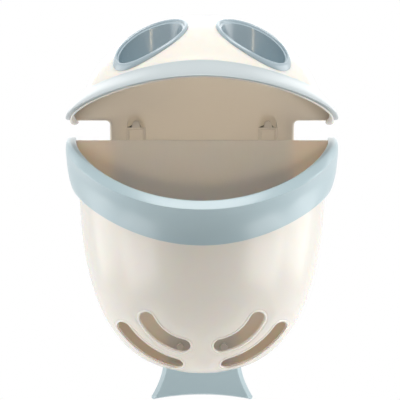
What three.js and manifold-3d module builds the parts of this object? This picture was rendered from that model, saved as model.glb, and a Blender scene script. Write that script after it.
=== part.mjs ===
// Wall-hung bath toy organizer in the shape of a fish: a fixed head with two cups on a wall plate,
// and a lift-off basket that is its lower jaw and body, with a tail below.
// Millimetres, +Z up, the front faces -Y, and the tiles lie in the plane Y = 0.
// "Depth" below is the distance in front of the tiles.
import * as THREE from 'three';
import { mergeVertices } from 'three/addons/utils/BufferGeometryUtils.js';
import Module from 'manifold-3d';

// Gaps and walls
const seamGap = 0.3;
const shellWall = 2.8;
const overcut = 3;

// Wall plate: a sheet held off the tiles by its skirt
const plateStandoff = 9.5;
const plateThickness = 3;
const skirtThickness = 2.6;
const neckHalfWidth = 105;
const neckFillet = 5;
const apronBottom = -128;
const apronCorner = 34;
const padHalfWidth = 17;
const padHalfHeight = 9;
const ribThickness = 2.4;

// Head: half of an egg whose lower edge flares and rises to the front
const headBase = 9.5;
const headHalfWidth = 137;
const headDepth = 160;
const headHeight = 118;
const headRise = 52.5;
const headRisePower = 1.4;
const headFlare = 12.5;
const flarePower = 1.5;
const bandHeightSide = 34;
const bandHeightFront = 18;
const trimEdge = 1.2;
const trimSwell = 3.5;
const tipDroop = 5;
const tipReach = 0.28;

// Eye cups: upright round pockets that hang in the head by a flange
const eyeOffset = 55.8;
const eyeDepth = 82;
const cupRadius = 37;
const cupWall = 2.2;
const cupClearance = 0.6;
const cupFloor = 62;
const flangeWidth = 4;
const flangeThickness = 2.6;
const drainRadius = 2.6;
const drainCircle = 17;
const drainCount = 5;

// Basket: half of an egg, open at the top, with a flat rear wall
const rimHeight = -9.5;
const rimDrop = 55;
const rimDropPower = 1.5;
const basketHalfWidth = 140;
const basketDepth = 162;
const basketShoulder = -33;
const basketBottom = -276;
const basketRoundness = 2.65;
const basketFlare = 6;
const lipLowHeight = -72;
const lipLowDrop = 40;
const lipLowPower = 2.1;
const lipEdge = 1.5;
const lipBulge = 9.5;
const lipCap = 3;
const lipNose = 7.5;
const lipReach = 8;
const lipSlope = 1.15;
const lipFrontStart = 0.3;
const lipFrontFull = 0.85;

// Drain slots in the basket's front, as arcs in the front view whose centres lie above its bottom
const slotDepth = 40;
const upperSlot = { offset: 11, rise: 101.4, radius: 53.7, width: 16.7, from: 205.6, to: 259.3 };
const lowerSlot = { offset: 2.9, rise: 122, radius: 103.4, width: 15.9, from: 216.4, to: 255.4 };

// Hangers on the basket and their windows in the wall plate
const hangerInset = 30;
const hangerHalfWidth = 11;
const hangerLeg = 3.2;
const hangerBar = 2.6;
const tongueHalfWidth = 5.2;
const tongueTopRadius = 4;
const tongueHeight = 10;
const windowHalfWidth = 9.8;
const windowSill = -1;
const windowHeight = 17;
const hookHalfWidth = 4.5;
const hookRise = 4.2;
const hookDrop = 7;
const hookThickness = 3.4;

// Tail fin on the basket's rear
const tailOverlap = 40;
const tailShank = 26;
const tailLength = 77;
const tailHalfWidth = 40;
const tailSpread = 15;
const tailSpreadPower = 2.1;
const tailArch = 6;
const tailDraft = 4;
const tailRear = 0.5;
const tailWall = 2.8;

// Suction cups
const suctionInset = 37;
const suctionUpper = 62;
const suctionLower = -72;
const suctionRadius = 22;
const suctionRing = 4;
const suctionHollow = 3.2;
const suctionEdge = 1.2;
const studRadius = 4.2;
const studClearance = 0.3;
const studHeadRadius = 7;
const studHeadHeight = 2.6;
const studChamfer = 1;
const pocketFloor = 2.5;
const pocketClearance = 1.3;
const pocketWall = 3;
const pocketSetback = 3.2;

// Screws with a cross recess
const screwShank = 1.5;
const screwClearance = 0.3;
const screwPassage = 0.6;
const screwHeadRadius = 3.8;
const screwHeadHeight = 2.2;
const screwHeadChamfer = 0.8;
const screwReach = 11;
const crossLength = 4.4;
const crossWidth = 1;
const crossDepth = 1.1;
const bossRadius = 4.4;
const bossInset = 9;
const bossLength = 15;
const bossWeb = 2.6;
const webBite = 1.2;
const headBossAngles = [28, 65];
const tailScrewOffset = 25;
const tailScrewInset = 15;
const tailBossLength = 9.5;

// Fineness of the facets
const sweepSteps = 32;
const domeSteps = 9;
const flareSteps = 5;
const bodySteps = 10;
const roundSteps = 30;
const arcSteps = 6;
const cupSteps = 16;
const screwSteps = 10;

// Places worked out from the sizes above
const plateFront = plateStandoff + plateThickness;
const shellRear = plateFront + seamGap;
const rimShell = lipCap + seamGap;
const hangerOffset = neckHalfWidth - hangerInset;
const suctionOffset = neckHalfWidth - suctionInset;
const tailTop = basketBottom + tailOverlap;
const tailWaist = tailTop - tailShank;
const tailBottom = tailTop - tailLength;
const tailScrewHeight = tailTop - tailScrewInset;
const pocketRear = plateStandoff - pocketSetback;
const hookFront = plateStandoff - seamGap;
const hookRear = hookFront - hookThickness;
const hookLow = windowSill - hookDrop;
const pocketFront = pocketRear + pocketFloor;
const far = 2 * Math.max(headDepth, headHeight, basketDepth);

const wasm = await Module();
wasm.setup();

const radians = THREE.MathUtils.degToRad;
const clamp = THREE.MathUtils.clamp;

// Closed solid of a geometry, its shared vertices merged and its faces turned outwards
function solidOf(geometry) {
  const bare = new THREE.BufferGeometry();
  bare.setAttribute('position', geometry.getAttribute('position'));
  bare.setIndex(geometry.index);
  const merged = mergeVertices(bare);
  const vertProperties = new Float32Array(merged.getAttribute('position').array);
  const corner = (index) => new THREE.Vector3().fromArray(vertProperties, 3 * index);
  const triangles = [];
  let volume = 0;
  for (let i = 0; i < merged.index.count; i += 3) {
    const [a, b, c] = [0, 1, 2].map((k) => merged.index.getX(i + k));
    if (a === b || b === c || a === c) continue;
    triangles.push([a, b, c]);
    volume += corner(a).dot(corner(b).cross(corner(c)));
  }
  const outward = volume < 0 ? triangles.map(([a, b, c]) => [a, c, b]) : triangles;
  const triVerts = new Uint32Array(outward.flat());
  return new wasm.Manifold(new wasm.Mesh({ numProp: 3, vertProperties, triVerts }));
}

// Closed skin through loops with equal counts of points, with its two ends filled.
// Each patch is split along its shorter diagonal, so that nested skins stay apart.
function loft(loops, firstEnd, lastEnd) {
  const count = loops[0].length;
  const points = loops.flat();
  const index = [];
  for (let loop = 0; loop + 1 < loops.length; loop += 1) {
    for (let i = 0; i < count; i += 1) {
      const here = loop * count + i;
      const next = loop * count + (i + 1) % count;
      const rising = points[here].distanceTo(points[next + count]);
      const falling = points[next].distanceTo(points[here + count]);
      if (rising < falling) index.push(here, next, next + count, here, next + count, here + count);
      else index.push(here, next, here + count, next, next + count, here + count);
    }
  }
  const last = (loops.length - 1) * count;
  const clockwise = THREE.ShapeUtils.isClockWise(firstEnd);
  for (const [a, b, c] of THREE.ShapeUtils.triangulateShape(firstEnd, [])) {
    index.push(...(clockwise ? [a, b, c] : [a, c, b]));
  }
  for (const [a, b, c] of THREE.ShapeUtils.triangulateShape(lastEnd, [])) {
    index.push(...(clockwise ? [a, c, b] : [a, b, c]).map((corner) => last + corner));
  }
  const geometry = new THREE.BufferGeometry().setFromPoints(points);
  geometry.setIndex(index);
  return solidOf(geometry);
}

// A section carried round half an ellipse in plan, from the left rear to the right rear.
// A section is a closed row of [half-width, depth past the rear plane, height].
function sweep(sectionAt) {
  const sections = [];
  for (let step = 0; step <= sweepSteps; step += 1) {
    sections.push(sectionAt(Math.PI * step / sweepSteps));
  }
  const loops = sections.map((section, step) => {
    const angle = Math.PI * step / sweepSteps;
    return section.map(([halfWidth, depth, height]) => new THREE.Vector3(
      -halfWidth * Math.cos(angle),
      -(shellRear + depth * Math.sin(angle)),
      height,
    ));
  });
  const flat = (section) => section.map(([halfWidth, , height]) => new THREE.Vector2(halfWidth, height));
  return loft(loops, flat(sections[0]), flat(sections[sweepSteps]));
}

// A shape of the front view, from one depth to another
function slab(shape, fromDepth, toDepth) {
  const options = { depth: toDepth - fromDepth, bevelEnabled: false, curveSegments: arcSteps };
  const geometry = new THREE.ExtrudeGeometry(shape, options);
  return solidOf(geometry.rotateX(Math.PI / 2).translate(0, -fromDepth, 0));
}

function rectangle(left, right, bottom, top) {
  const corners = [[left, bottom], [right, bottom], [right, top], [left, top]];
  return new THREE.Shape(corners.map(([x, z]) => new THREE.Vector2(x, z)));
}

function disc(x, z, radius) {
  return new THREE.Shape().absarc(x, z, radius, 0, 2 * Math.PI);
}

// A round solid on an axis square to the tiles, from [radius, depth] points
function turned(profile, x, z, steps) {
  const points = profile.map(([radius, depth]) => new THREE.Vector2(radius, -depth));
  return solidOf(new THREE.LatheGeometry(points, steps).translate(x, 0, z));
}

function upright(x, depth, radius, bottom, top, steps) {
  const geometry = new THREE.CylinderGeometry(radius, radius, top - bottom, steps);
  return solidOf(geometry.rotateX(Math.PI / 2).translate(x, -depth, (top + bottom) / 2));
}

function joined(solids) {
  return solids.reduce((whole, solid) => whole.add(solid));
}

// Head outline
const headScale = (height, grow) => {
  const climb = Math.max(height - headBase, 0) / (headHeight + grow);
  return Math.sqrt(Math.max(1 - climb ** 2, 0));
};
const headEdge = (angle) => headBase + headRise * Math.max(Math.sin(angle), 0) ** headRisePower;
const bandHeight = (angle) => bandHeightSide + (bandHeightFront - bandHeightSide) * Math.sin(angle);
const swellAt = (share) => Math.sin(Math.PI / 2 * share) ** flarePower;

function headRow(height, offset, grow) {
  const scale = headScale(height, grow);
  const halfWidth = (headHalfWidth + grow) * scale + offset;
  const depth = (headDepth + grow) * scale + offset;
  return [halfWidth, depth, height];
}

// Rows from the mouth's edge up to the crown, for a surface grown outwards by some amount
function headRows(angle, grow) {
  const edge = headEdge(angle);
  const band = bandHeight(angle);
  const rows = [];
  for (let step = 0; step < flareSteps; step += 1) {
    const share = 1 - step / flareSteps;
    rows.push(headRow(edge + band * (1 - share), headFlare * swellAt(share), grow));
  }
  const crown = headHeight + grow;
  const start = Math.asin((edge + band - headBase) / crown);
  for (let step = 0; step < domeSteps; step += 1) {
    const turn = start + (Math.PI / 2 - start) * step / domeSteps;
    rows.push(headRow(headBase + crown * Math.sin(turn), 0, grow));
  }
  rows.push([0, 0, headBase + crown]);
  return rows;
}

const headShellSection = (angle) => [...headRows(angle, 0), ...headRows(angle, -shellWall).reverse()];
const headBulk = (grow) => sweep((angle) => [...headRows(angle, grow), [0, 0, headEdge(angle)]]);

function headBosses() {
  const places = [];
  for (const side of [-1, 1]) {
    for (const degrees of headBossAngles) {
      const angle = radians(degrees);
      const rim = new THREE.Vector2(headHalfWidth * Math.cos(angle), headHeight * Math.sin(angle));
      const slope = new THREE.Vector2(Math.cos(angle) / headHalfWidth, Math.sin(angle) / headHeight);
      const out = slope.normalize();
      const centre = rim.clone().addScaledVector(out, -bossInset);
      places.push({ x: side * centre.x, z: headBase + centre.y, outX: side * out.x, outZ: out.y });
    }
  }
  return places;
}

function eyePlaces() {
  return [['eye_cup_left', -eyeOffset], ['eye_cup_right', eyeOffset]];
}

function headShell() {
  let shell = sweep(headShellSection);
  const bossEnd = shellRear + bossLength;
  for (const { x, z, outX, outZ } of headBosses()) {
    const reach = bossInset - webBite;
    const half = bossWeb / 2;
    const corners = [[0, -half], [reach, -half], [reach, half], [0, half]].map(([along, across]) => (
      new THREE.Vector2(x + along * outX - across * outZ, z + along * outZ + across * outX)));
    shell = shell.add(slab(new THREE.Shape(corners), shellRear, bossEnd));
    shell = shell.add(slab(disc(x, z, bossRadius), shellRear, bossEnd));
    const pilot = disc(x, z, screwShank + screwClearance);
    shell = shell.subtract(slab(pilot, shellRear - overcut, bossEnd - shellWall));
  }
  for (const [, x] of eyePlaces()) {
    shell = shell.subtract(upright(x, eyeDepth, cupRadius + cupClearance, cupFloor, far, roundSteps));
  }
  return shell;
}

// Blue-grey band over the head's flared edge, with drooping rounded ends
function upperTrimSection(angle) {
  const edge = headEdge(angle);
  const band = bandHeight(angle);
  const droop = tipDroop * Math.max(1 - (Math.sin(angle) / tipReach) ** 2, 0) ** 2;
  const inner = [];
  const outer = [];
  for (let step = 0; step <= flareSteps; step += 1) {
    const share = 1 - step / flareSteps;
    const swell = swellAt(share);
    const height = edge + band * (1 - share);
    const inside = headFlare * swell + seamGap;
    inner.push(headRow(height, inside, 0));
    outer.push(headRow(height, inside + trimEdge + trimSwell * swell, 0));
  }
  const hem = headRow(edge, headFlare + seamGap, 0);
  const hemLow = [hem[0], hem[1], edge - droop];
  const lip = [outer[0][0], outer[0][1], edge - droop * trimSwell / tipDroop];
  return [hemLow, lip, ...outer.slice(1), ...inner.reverse()];
}

function eyeCup(x) {
  const outerBulk = headBulk(seamGap + flangeThickness);
  const ring = upright(x, eyeDepth, cupRadius + flangeWidth, cupFloor, far, roundSteps);
  const flange = ring.intersect(outerBulk).subtract(headBulk(seamGap));
  const tube = upright(x, eyeDepth, cupRadius, cupFloor, far, roundSteps).intersect(outerBulk);
  const hollow = upright(x, eyeDepth, cupRadius - cupWall, cupFloor + cupWall, far, roundSteps);
  let cup = flange.add(tube).subtract(hollow);
  for (let hole = 0; hole < drainCount; hole += 1) {
    const turn = 2 * Math.PI * hole / drainCount;
    const holeX = x + drainCircle * Math.cos(turn);
    const holeDepth = eyeDepth + drainCircle * Math.sin(turn);
    const top = cupFloor + cupWall + overcut;
    cup = cup.subtract(upright(holeX, holeDepth, drainRadius, cupFloor - overcut, top, screwSteps));
  }
  return cup;
}

// Wall plate outline, drawn in by an inset for the hollow behind its skirt
function plateOutline(inset) {
  const headLow = headBase + inset;
  const neck = neckHalfWidth - inset;
  const corner = apronCorner - inset;
  const bottom = apronBottom + inset;
  const fillet = neckFillet + inset;
  const shape = new THREE.Shape();
  shape.moveTo(-neck + corner, bottom);
  shape.lineTo(neck - corner, bottom);
  shape.absarc(neck - corner, bottom + corner, corner, -Math.PI / 2, 0);
  shape.lineTo(neck, headLow - fillet);
  shape.absarc(neck + fillet, headLow - fillet, fillet, Math.PI, Math.PI / 2, true);
  const rows = headRows(0, -inset).filter(([, , height]) => height >= headLow);
  const widest = headRow(headLow, headFlare * swellAt(1 - inset / bandHeight(0)), -inset);
  const side = [widest, ...rows.filter(([, , height]) => height > headLow)];
  for (const [halfWidth, , height] of side) shape.lineTo(halfWidth, height);
  for (const [halfWidth, , height] of side.slice(0, -1).reverse()) shape.lineTo(-halfWidth, height);
  shape.lineTo(-neck - fillet, headLow);
  shape.absarc(-neck - fillet, headLow - fillet, fillet, Math.PI / 2, 0, true);
  shape.lineTo(-neck, bottom + corner);
  shape.absarc(-neck + corner, bottom + corner, corner, Math.PI, 1.5 * Math.PI);
  return shape;
}

function windowShape(x) {
  const spring = windowSill + windowHeight - windowHalfWidth;
  const shape = new THREE.Shape();
  shape.moveTo(x - windowHalfWidth, windowSill);
  shape.lineTo(x + windowHalfWidth, windowSill);
  shape.lineTo(x + windowHalfWidth, spring);
  shape.absarc(x, spring, windowHalfWidth, 0, Math.PI);
  return shape;
}

function suctionPlaces() {
  return [
    ['suction_cup_upper_left', -suctionOffset, suctionUpper],
    ['suction_cup_upper_right', suctionOffset, suctionUpper],
    ['suction_cup_lower_left', -suctionOffset, suctionLower],
    ['suction_cup_lower_right', suctionOffset, suctionLower],
  ];
}

function wallPlate() {
  let plate = slab(plateOutline(0), 0, plateFront);
  plate = plate.subtract(slab(plateOutline(skirtThickness), -overcut, plateStandoff));
  const crown = headBase + headHeight - skirtThickness / 2;
  const foot = apronBottom + skirtThickness / 2;
  plate = plate.add(slab(rectangle(-ribThickness / 2, ribThickness / 2, foot, crown), 0, plateFront));
  const pad = rectangle(-padHalfWidth, padHalfWidth, -padHalfHeight, padHalfHeight);
  plate = plate.add(slab(pad, 0, plateFront));
  for (const [, x, z] of suctionPlaces()) {
    const pocketRadius = studHeadRadius + pocketClearance;
    plate = plate.add(slab(disc(x, z, pocketRadius + pocketWall), pocketRear, plateFront));
    plate = plate.subtract(slab(disc(x, z, pocketRadius), pocketFront, plateFront + overcut));
    plate = plate.subtract(slab(disc(x, z, studRadius + studClearance), 0, plateFront));
  }
  for (const { x, z } of headBosses()) {
    plate = plate.subtract(slab(disc(x, z, screwShank + screwPassage), 0, plateFront + overcut));
  }
  for (const side of [-1, 1]) {
    plate = plate.subtract(slab(windowShape(side * hangerOffset), -overcut, plateFront + overcut));
  }
  return plate;
}

// Soft cup pressed flat on the tiles, with a stud that buttons into the plate's pocket
function suctionCup(x, z) {
  const shoulder = pocketRear - seamGap;
  const headStart = pocketFront + seamGap;
  const headEnd = headStart + studHeadHeight;
  const ringInside = suctionRadius - suctionRing;
  const dishMiddle = ringInside / 2;
  return turned([
    [0, suctionHollow],
    [dishMiddle, suctionHollow * (1 - (dishMiddle / ringInside) ** 2)],
    [ringInside, 0],
    [suctionRadius, 0],
    [suctionRadius, suctionEdge],
    [studHeadRadius, shoulder],
    [studRadius, shoulder],
    [studRadius, headStart],
    [studHeadRadius, headStart],
    [studHeadRadius - studChamfer, headEnd],
    [0, headEnd],
  ], x, z, cupSteps);
}

// Screw driven from the rear, its head seated on the face at the given depth
function screw(x, z, seat) {
  const headRear = seat - seamGap - screwHeadHeight;
  const body = turned([
    [0, headRear],
    [screwHeadRadius - screwHeadChamfer, headRear],
    [screwHeadRadius, headRear + screwHeadChamfer],
    [screwHeadRadius, seat - seamGap],
    [screwShank, seat - seamGap],
    [screwShank, seat + screwReach - screwShank],
    [0, seat + screwReach],
  ], x, z, screwSteps);
  const long = crossLength / 2;
  const wide = crossWidth / 2;
  const recess = joined([
    slab(rectangle(x - long, x + long, z - wide, z + wide), headRear - overcut, headRear + crossDepth),
    slab(rectangle(x - wide, x + wide, z - long, z + long), headRear - overcut, headRear + crossDepth),
  ]);
  return body.subtract(recess);
}

// Basket outline
const rimAt = (angle) => rimHeight - rimDrop * Math.max(Math.sin(angle), 0) ** rimDropPower;
const lipLowAt = (angle) => lipLowHeight - lipLowDrop * Math.max(Math.sin(angle), 0) ** lipLowPower;
const flareAt = (height, angle) => {
  const share = clamp((height - lipLowAt(angle)) / (rimAt(angle) - lipLowAt(angle)), 0, 1);
  return basketFlare * share ** flarePower;
};
const bodyScale = (height, grow) => {
  const drop = clamp((basketShoulder - height) / (basketShoulder - basketBottom + grow), 0, 1);
  return (1 - drop ** basketRoundness) ** (1 / basketRoundness);
};

function bodyRow(height, offset, grow) {
  const scale = bodyScale(height, grow);
  return [(basketHalfWidth + grow) * scale + offset, (basketDepth + grow) * scale + offset, height];
}

// Rows from the basket's lowest point up to its rim
function bodyRows(angle, grow) {
  const low = lipLowAt(angle);
  const top = rimAt(angle) - rimShell;
  const tall = basketShoulder - basketBottom + grow;
  const stop = Math.asin((Math.max(basketShoulder - low, 0) / tall) ** (basketRoundness / 2));
  const rows = [[0, 0, basketShoulder - tall]];
  for (let step = 1; step < bodySteps; step += 1) {
    const turn = Math.PI / 2 + (stop - Math.PI / 2) * step / bodySteps;
    rows.push(bodyRow(basketShoulder - tall * Math.sin(turn) ** (2 / basketRoundness), 0, grow));
  }
  for (let step = 0; step <= flareSteps; step += 1) {
    const height = low + (top - low) * step / flareSteps;
    rows.push(bodyRow(height, flareAt(height, angle), grow));
  }
  return rows;
}

const basketSection = (angle) => [...bodyRows(angle, 0), ...bodyRows(angle, -shellWall).reverse()];

// A curved slot left of the middle, or its mirror image on the right
function slotShape(side, { offset, rise, radius, width, from, to }) {
  const half = width / 2;
  const mirrored = (turn) => 3 * Math.PI - turn;
  const start = side < 0 ? radians(from) : mirrored(radians(to));
  const end = side < 0 ? radians(to) : mirrored(radians(from));
  const centre = side * offset;
  const z = basketBottom + rise;
  const capAt = (turn) => [centre + radius * Math.cos(turn), z + radius * Math.sin(turn)];
  const shape = new THREE.Shape();
  shape.absarc(centre, z, radius + half, start, end);
  shape.absarc(...capAt(end), half, end, end + Math.PI);
  shape.absarc(centre, z, radius - half, end, start, true);
  shape.absarc(...capAt(start), half, start + Math.PI, start + 2 * Math.PI);
  return shape;
}

// Two legs, a bar and a tongue above the rear rim, with a hook behind that drops over the window's sill
function hanger(x) {
  const front = shellRear + shellWall;
  const root = rimHeight - rimShell - shellWall;
  const barLow = windowSill + seamGap;
  const barTop = barLow + hangerBar;
  const tongue = new THREE.Shape();
  tongue.moveTo(x - tongueHalfWidth, barLow);
  tongue.lineTo(x + tongueHalfWidth, barLow);
  tongue.lineTo(x + tongueTopRadius, barLow + tongueHeight - tongueTopRadius);
  tongue.absarc(x, barLow + tongueHeight - tongueTopRadius, tongueTopRadius, 0, Math.PI);
  const hookTop = barLow + hookRise;
  return joined([
    slab(rectangle(x - hangerHalfWidth, x + hangerHalfWidth, barLow, barTop), shellRear, front),
    slab(rectangle(x - hangerHalfWidth, x - hangerHalfWidth + hangerLeg, root, barTop), shellRear, front),
    slab(rectangle(x + hangerHalfWidth - hangerLeg, x + hangerHalfWidth, root, barTop), shellRear, front),
    slab(tongue, shellRear, front),
    slab(rectangle(x - hookHalfWidth, x + hookHalfWidth, barLow, hookTop), hookRear, front),
    slab(rectangle(x - hookHalfWidth, x + hookHalfWidth, hookLow, hookTop), hookRear, hookFront),
  ]);
}

function basketShell() {
  const rows = bodyRows(0, -shellWall / 2);
  const outline = [
    ...rows.map(([halfWidth, , height]) => new THREE.Vector2(halfWidth, height)),
    ...rows.slice(1).reverse().map(([halfWidth, , height]) => new THREE.Vector2(-halfWidth, height)),
  ];
  const rearWall = slab(new THREE.Shape(outline), shellRear, shellRear + shellWall);
  let shell = sweep(basketSection).add(rearWall);
  for (const side of [-1, 1]) {
    for (const slot of [upperSlot, lowerSlot]) {
      shell = shell.subtract(slab(slotShape(side, slot), shellRear + slotDepth, far));
    }
    const bossX = side * tailScrewOffset;
    const bossEnd = shellRear + tailBossLength;
    const boss = slab(disc(bossX, tailScrewHeight, bossRadius), shellRear, bossEnd);
    const pilot = disc(bossX, tailScrewHeight, screwShank + screwClearance);
    const pilotEnd = bossEnd - shellWall / 2;
    shell = shell.add(boss).add(hanger(side * hangerOffset));
    shell = shell.subtract(slab(pilot, shellRear - overcut, pilotEnd));
  }
  return shell;
}

// How far the lip stands out: a full curve at the sides, and a round nose over a sloping face at the front
function lipOut(share, tall, angle) {
  const full = lipBulge * Math.sqrt(1 - (2 * share - 1) ** 2);
  const faceShare = clamp(share / (1 - lipNose / tall), 0, 1);
  const noseTurn = clamp(1 - (1 - share) * tall / lipNose, 0, 1);
  const face = lipReach * faceShare ** lipSlope - lipNose * (1 - Math.sqrt(1 - noseTurn ** 2));
  const front = THREE.MathUtils.smoothstep(Math.sin(angle), lipFrontStart, lipFrontFull);
  return seamGap + lipEdge + THREE.MathUtils.lerp(full, face, front);
}

// Blue-grey rim of the basket: a band outside, and a cap over the shell's edge
function lowerTrimSection(angle) {
  const low = lipLowAt(angle);
  const top = rimAt(angle);
  const steps = 2 * (flareSteps + 1);
  const outer = [];
  for (let step = 0; step <= steps; step += 1) {
    const share = (1 - Math.cos(Math.PI * step / steps)) / 2;
    const height = low + (top - low) * share;
    outer.push(bodyRow(height, flareAt(height, angle) + lipOut(share, top - low, angle), 0));
  }
  const flare = flareAt(top, angle);
  const ledge = top - lipCap;
  const cap = [bodyRow(top, flare - shellWall + lipEdge, 0), bodyRow(top - lipEdge, flare - shellWall, 0)];
  const inner = [];
  for (let step = 0; step <= flareSteps; step += 1) {
    const height = low + (ledge - low) * step / flareSteps;
    inner.push(bodyRow(height, flareAt(height, angle) + seamGap, 0));
  }
  return [...outer, ...cap, bodyRow(ledge, flare - shellWall, 0), ...inner.reverse()];
}

// Tail outline in the front view, grown outwards by some amount
function tailOutline(grow) {
  const halfAt = (height) => {
    const share = clamp((tailWaist - height) / (tailWaist - tailBottom), 0, 1);
    return tailHalfWidth + tailSpread * share ** tailSpreadPower + grow;
  };
  const sideHeights = [tailTop + grow];
  for (let step = 0; step <= domeSteps; step += 1) {
    sideHeights.push(tailWaist + (tailBottom - grow - tailWaist) * step / domeSteps);
  }
  const side = sideHeights.map((height) => new THREE.Vector2(halfAt(height), height));
  const tip = side[side.length - 1];
  const sole = [];
  for (let step = 1; step < domeSteps; step += 1) {
    const share = 1 - 2 * step / domeSteps;
    sole.push(new THREE.Vector2(tip.x * share, tip.y + tailArch * (1 - share ** 2)));
  }
  const mirrored = side.map(({ x, y }) => new THREE.Vector2(-x, y)).reverse();
  return [...side, ...sole, ...mirrored];
}

// Solid between one outline at one depth and another outline in front of it
function frustum(rearOutline, rearDepth, frontOutline, frontDepth) {
  const place = (outline, depth) => outline.map(({ x, y }) => new THREE.Vector3(x, -depth, y));
  return loft([place(rearOutline, rearDepth), place(frontOutline, frontDepth)], rearOutline, frontOutline);
}

function tailFin() {
  const sheetRear = plateFront - tailWall;
  const body = frustum(tailOutline(tailDraft), tailRear, tailOutline(0), plateFront);
  const hollowRear = tailOutline(tailDraft - tailWall);
  const hollow = frustum(hollowRear, tailRear - overcut, tailOutline(-tailWall), sheetRear);
  let tail = body.subtract(hollow);
  for (const side of [-1, 1]) {
    const hole = disc(side * tailScrewOffset, tailScrewHeight, screwShank + screwPassage);
    tail = tail.subtract(slab(hole, sheetRear - overcut, plateFront + overcut));
  }
  return tail;
}

// Colours and finishes
const finishes = {
  white: { color: 0xf3efe9, roughness: 0.22, metalness: 0 },
  blueGrey: { color: 0xa9bcc6, roughness: 0.3, metalness: 0 },
  clear: { color: 0xdfe6e6, roughness: 0.15, metalness: 0 },
  steel: { color: 0xb9bcbe, roughness: 0.35, metalness: 1 },
};

const organizer = new THREE.Group();

function addPiece(name, solid, finish) {
  const { vertProperties, triVerts } = solid.getMesh();
  const geometry = new THREE.BufferGeometry();
  geometry.setAttribute('position', new THREE.BufferAttribute(vertProperties, 3));
  geometry.setIndex(new THREE.BufferAttribute(triVerts, 1));
  geometry.computeVertexNormals();
  const mesh = new THREE.Mesh(geometry, new THREE.MeshStandardMaterial(finishes[finish]));
  mesh.name = name;
  organizer.add(mesh);
}

addPiece('wall_plate', wallPlate(), 'white');
addPiece('head_shell', headShell(), 'white');
addPiece('upper_lip', sweep(upperTrimSection), 'blueGrey');
for (const [name, x] of eyePlaces()) addPiece(name, eyeCup(x), 'blueGrey');
for (const [name, x, z] of suctionPlaces()) addPiece(name, suctionCup(x, z), 'clear');
headBosses().forEach(({ x, z }, i) => addPiece(`head_screw_${i + 1}`, screw(x, z, plateStandoff), 'steel'));
addPiece('basket_shell', basketShell(), 'white');
addPiece('lower_lip', sweep(lowerTrimSection), 'blueGrey');
addPiece('tail_fin', tailFin(), 'blueGrey');
for (const [name, side] of [['tail_screw_left', -1], ['tail_screw_right', 1]]) {
  addPiece(name, screw(side * tailScrewOffset, tailScrewHeight, plateFront - tailWall), 'steel');
}

export default organizer;
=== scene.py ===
# Looks of a wall-hung bath toy organizer, built round its packed model.
# Metres, +Z up, the front faces -Y, and the tiles lie in the plane Y = 0.
# "Depth" below is the distance in front of the tiles.
import math
from typing import NamedTuple

import bmesh
import bpy
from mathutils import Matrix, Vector
from mathutils.geometry import delaunay_2d_cdt


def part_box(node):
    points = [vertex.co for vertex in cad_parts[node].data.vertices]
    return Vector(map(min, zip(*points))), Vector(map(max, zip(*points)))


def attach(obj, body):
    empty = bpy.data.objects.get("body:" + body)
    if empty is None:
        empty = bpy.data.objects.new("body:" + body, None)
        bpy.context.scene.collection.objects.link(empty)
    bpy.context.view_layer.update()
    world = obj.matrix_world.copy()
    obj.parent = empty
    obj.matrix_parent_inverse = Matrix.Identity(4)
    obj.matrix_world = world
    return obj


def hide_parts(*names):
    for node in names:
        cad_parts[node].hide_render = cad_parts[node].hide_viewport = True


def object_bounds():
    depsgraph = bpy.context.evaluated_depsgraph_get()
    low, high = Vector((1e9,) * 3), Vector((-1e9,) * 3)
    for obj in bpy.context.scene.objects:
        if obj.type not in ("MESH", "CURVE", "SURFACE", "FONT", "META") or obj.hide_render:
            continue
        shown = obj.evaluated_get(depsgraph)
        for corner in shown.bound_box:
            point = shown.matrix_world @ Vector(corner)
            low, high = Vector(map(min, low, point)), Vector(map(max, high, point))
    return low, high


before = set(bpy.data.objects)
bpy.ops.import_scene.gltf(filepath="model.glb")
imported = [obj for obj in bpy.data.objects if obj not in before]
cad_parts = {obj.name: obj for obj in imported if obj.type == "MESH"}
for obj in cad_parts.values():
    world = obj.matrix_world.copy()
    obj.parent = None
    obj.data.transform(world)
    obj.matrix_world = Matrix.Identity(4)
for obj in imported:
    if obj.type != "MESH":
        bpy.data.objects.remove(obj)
CAD_BOX = [list(corner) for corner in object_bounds()]

bl_info = {
    "name": "Bath toy organizer",
    "version": (1, 0, 0),
    "blender": (4, 5, 0),
    "location": "3D View > Sidebar > Organizer",
    "description": "Dresses a wall-hung bath toy organizer with its mouldings, finishes and studio",
    "category": "Object",
}

MM = 0.001
SIDES = {"left": -1, "right": 1}

# Places read from the packed model
PLATE_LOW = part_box("wall_plate")[0]
HEAD_LOW, HEAD_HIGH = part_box("head_shell")
BASKET_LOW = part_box("basket_shell")[0]
TAIL_LOW, TAIL_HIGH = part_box("tail_fin")
CUP_LOW, CUP_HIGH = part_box("eye_cup_right")
PLATE_FRONT = -PLATE_LOW.y
SHELL_REAR = -HEAD_HIGH.y
SEAM = SHELL_REAR - PLATE_FRONT
HEAD_SCREWS = [f"head_screw_{index}" for index in range(1, 5)]
TAIL_SCREWS = [f"tail_screw_{side}" for side in SIDES]
SUCTION_CUPS = [f"suction_cup_{level}_{side}" for level in ("upper", "lower") for side in SIDES]

# Flare of the head, which two of its sizes share
HEAD_FLARE = 12.5 * MM

# Fineness of the meshes
SWEEP_STEPS = 160
FLARE_STEPS = 14
DOME_STEPS = 40
BODY_STEPS = 76
RIM_STEPS = 18
LIP_STEPS = 44
ROUND_STEPS = 96
CUP_STEPS = 288
HEM_STEPS = 8
ARC_STEPS = 12
SLOT_ARC_STEPS = 36
SLOT_CAP_STEPS = 12
FOOT_STEPS = 8
REAR_WALL_FIRST_ROW = 2
MERGE_DISTANCE = 0.004 * MM
SMOOTH_ANGLE = math.radians(32)

# Triangulation: only the triangles inside the outlines, and its tolerance in millimetres
INSIDE_TRIANGLES = 1
TRIANGLE_TOLERANCE = 1e-6


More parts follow.
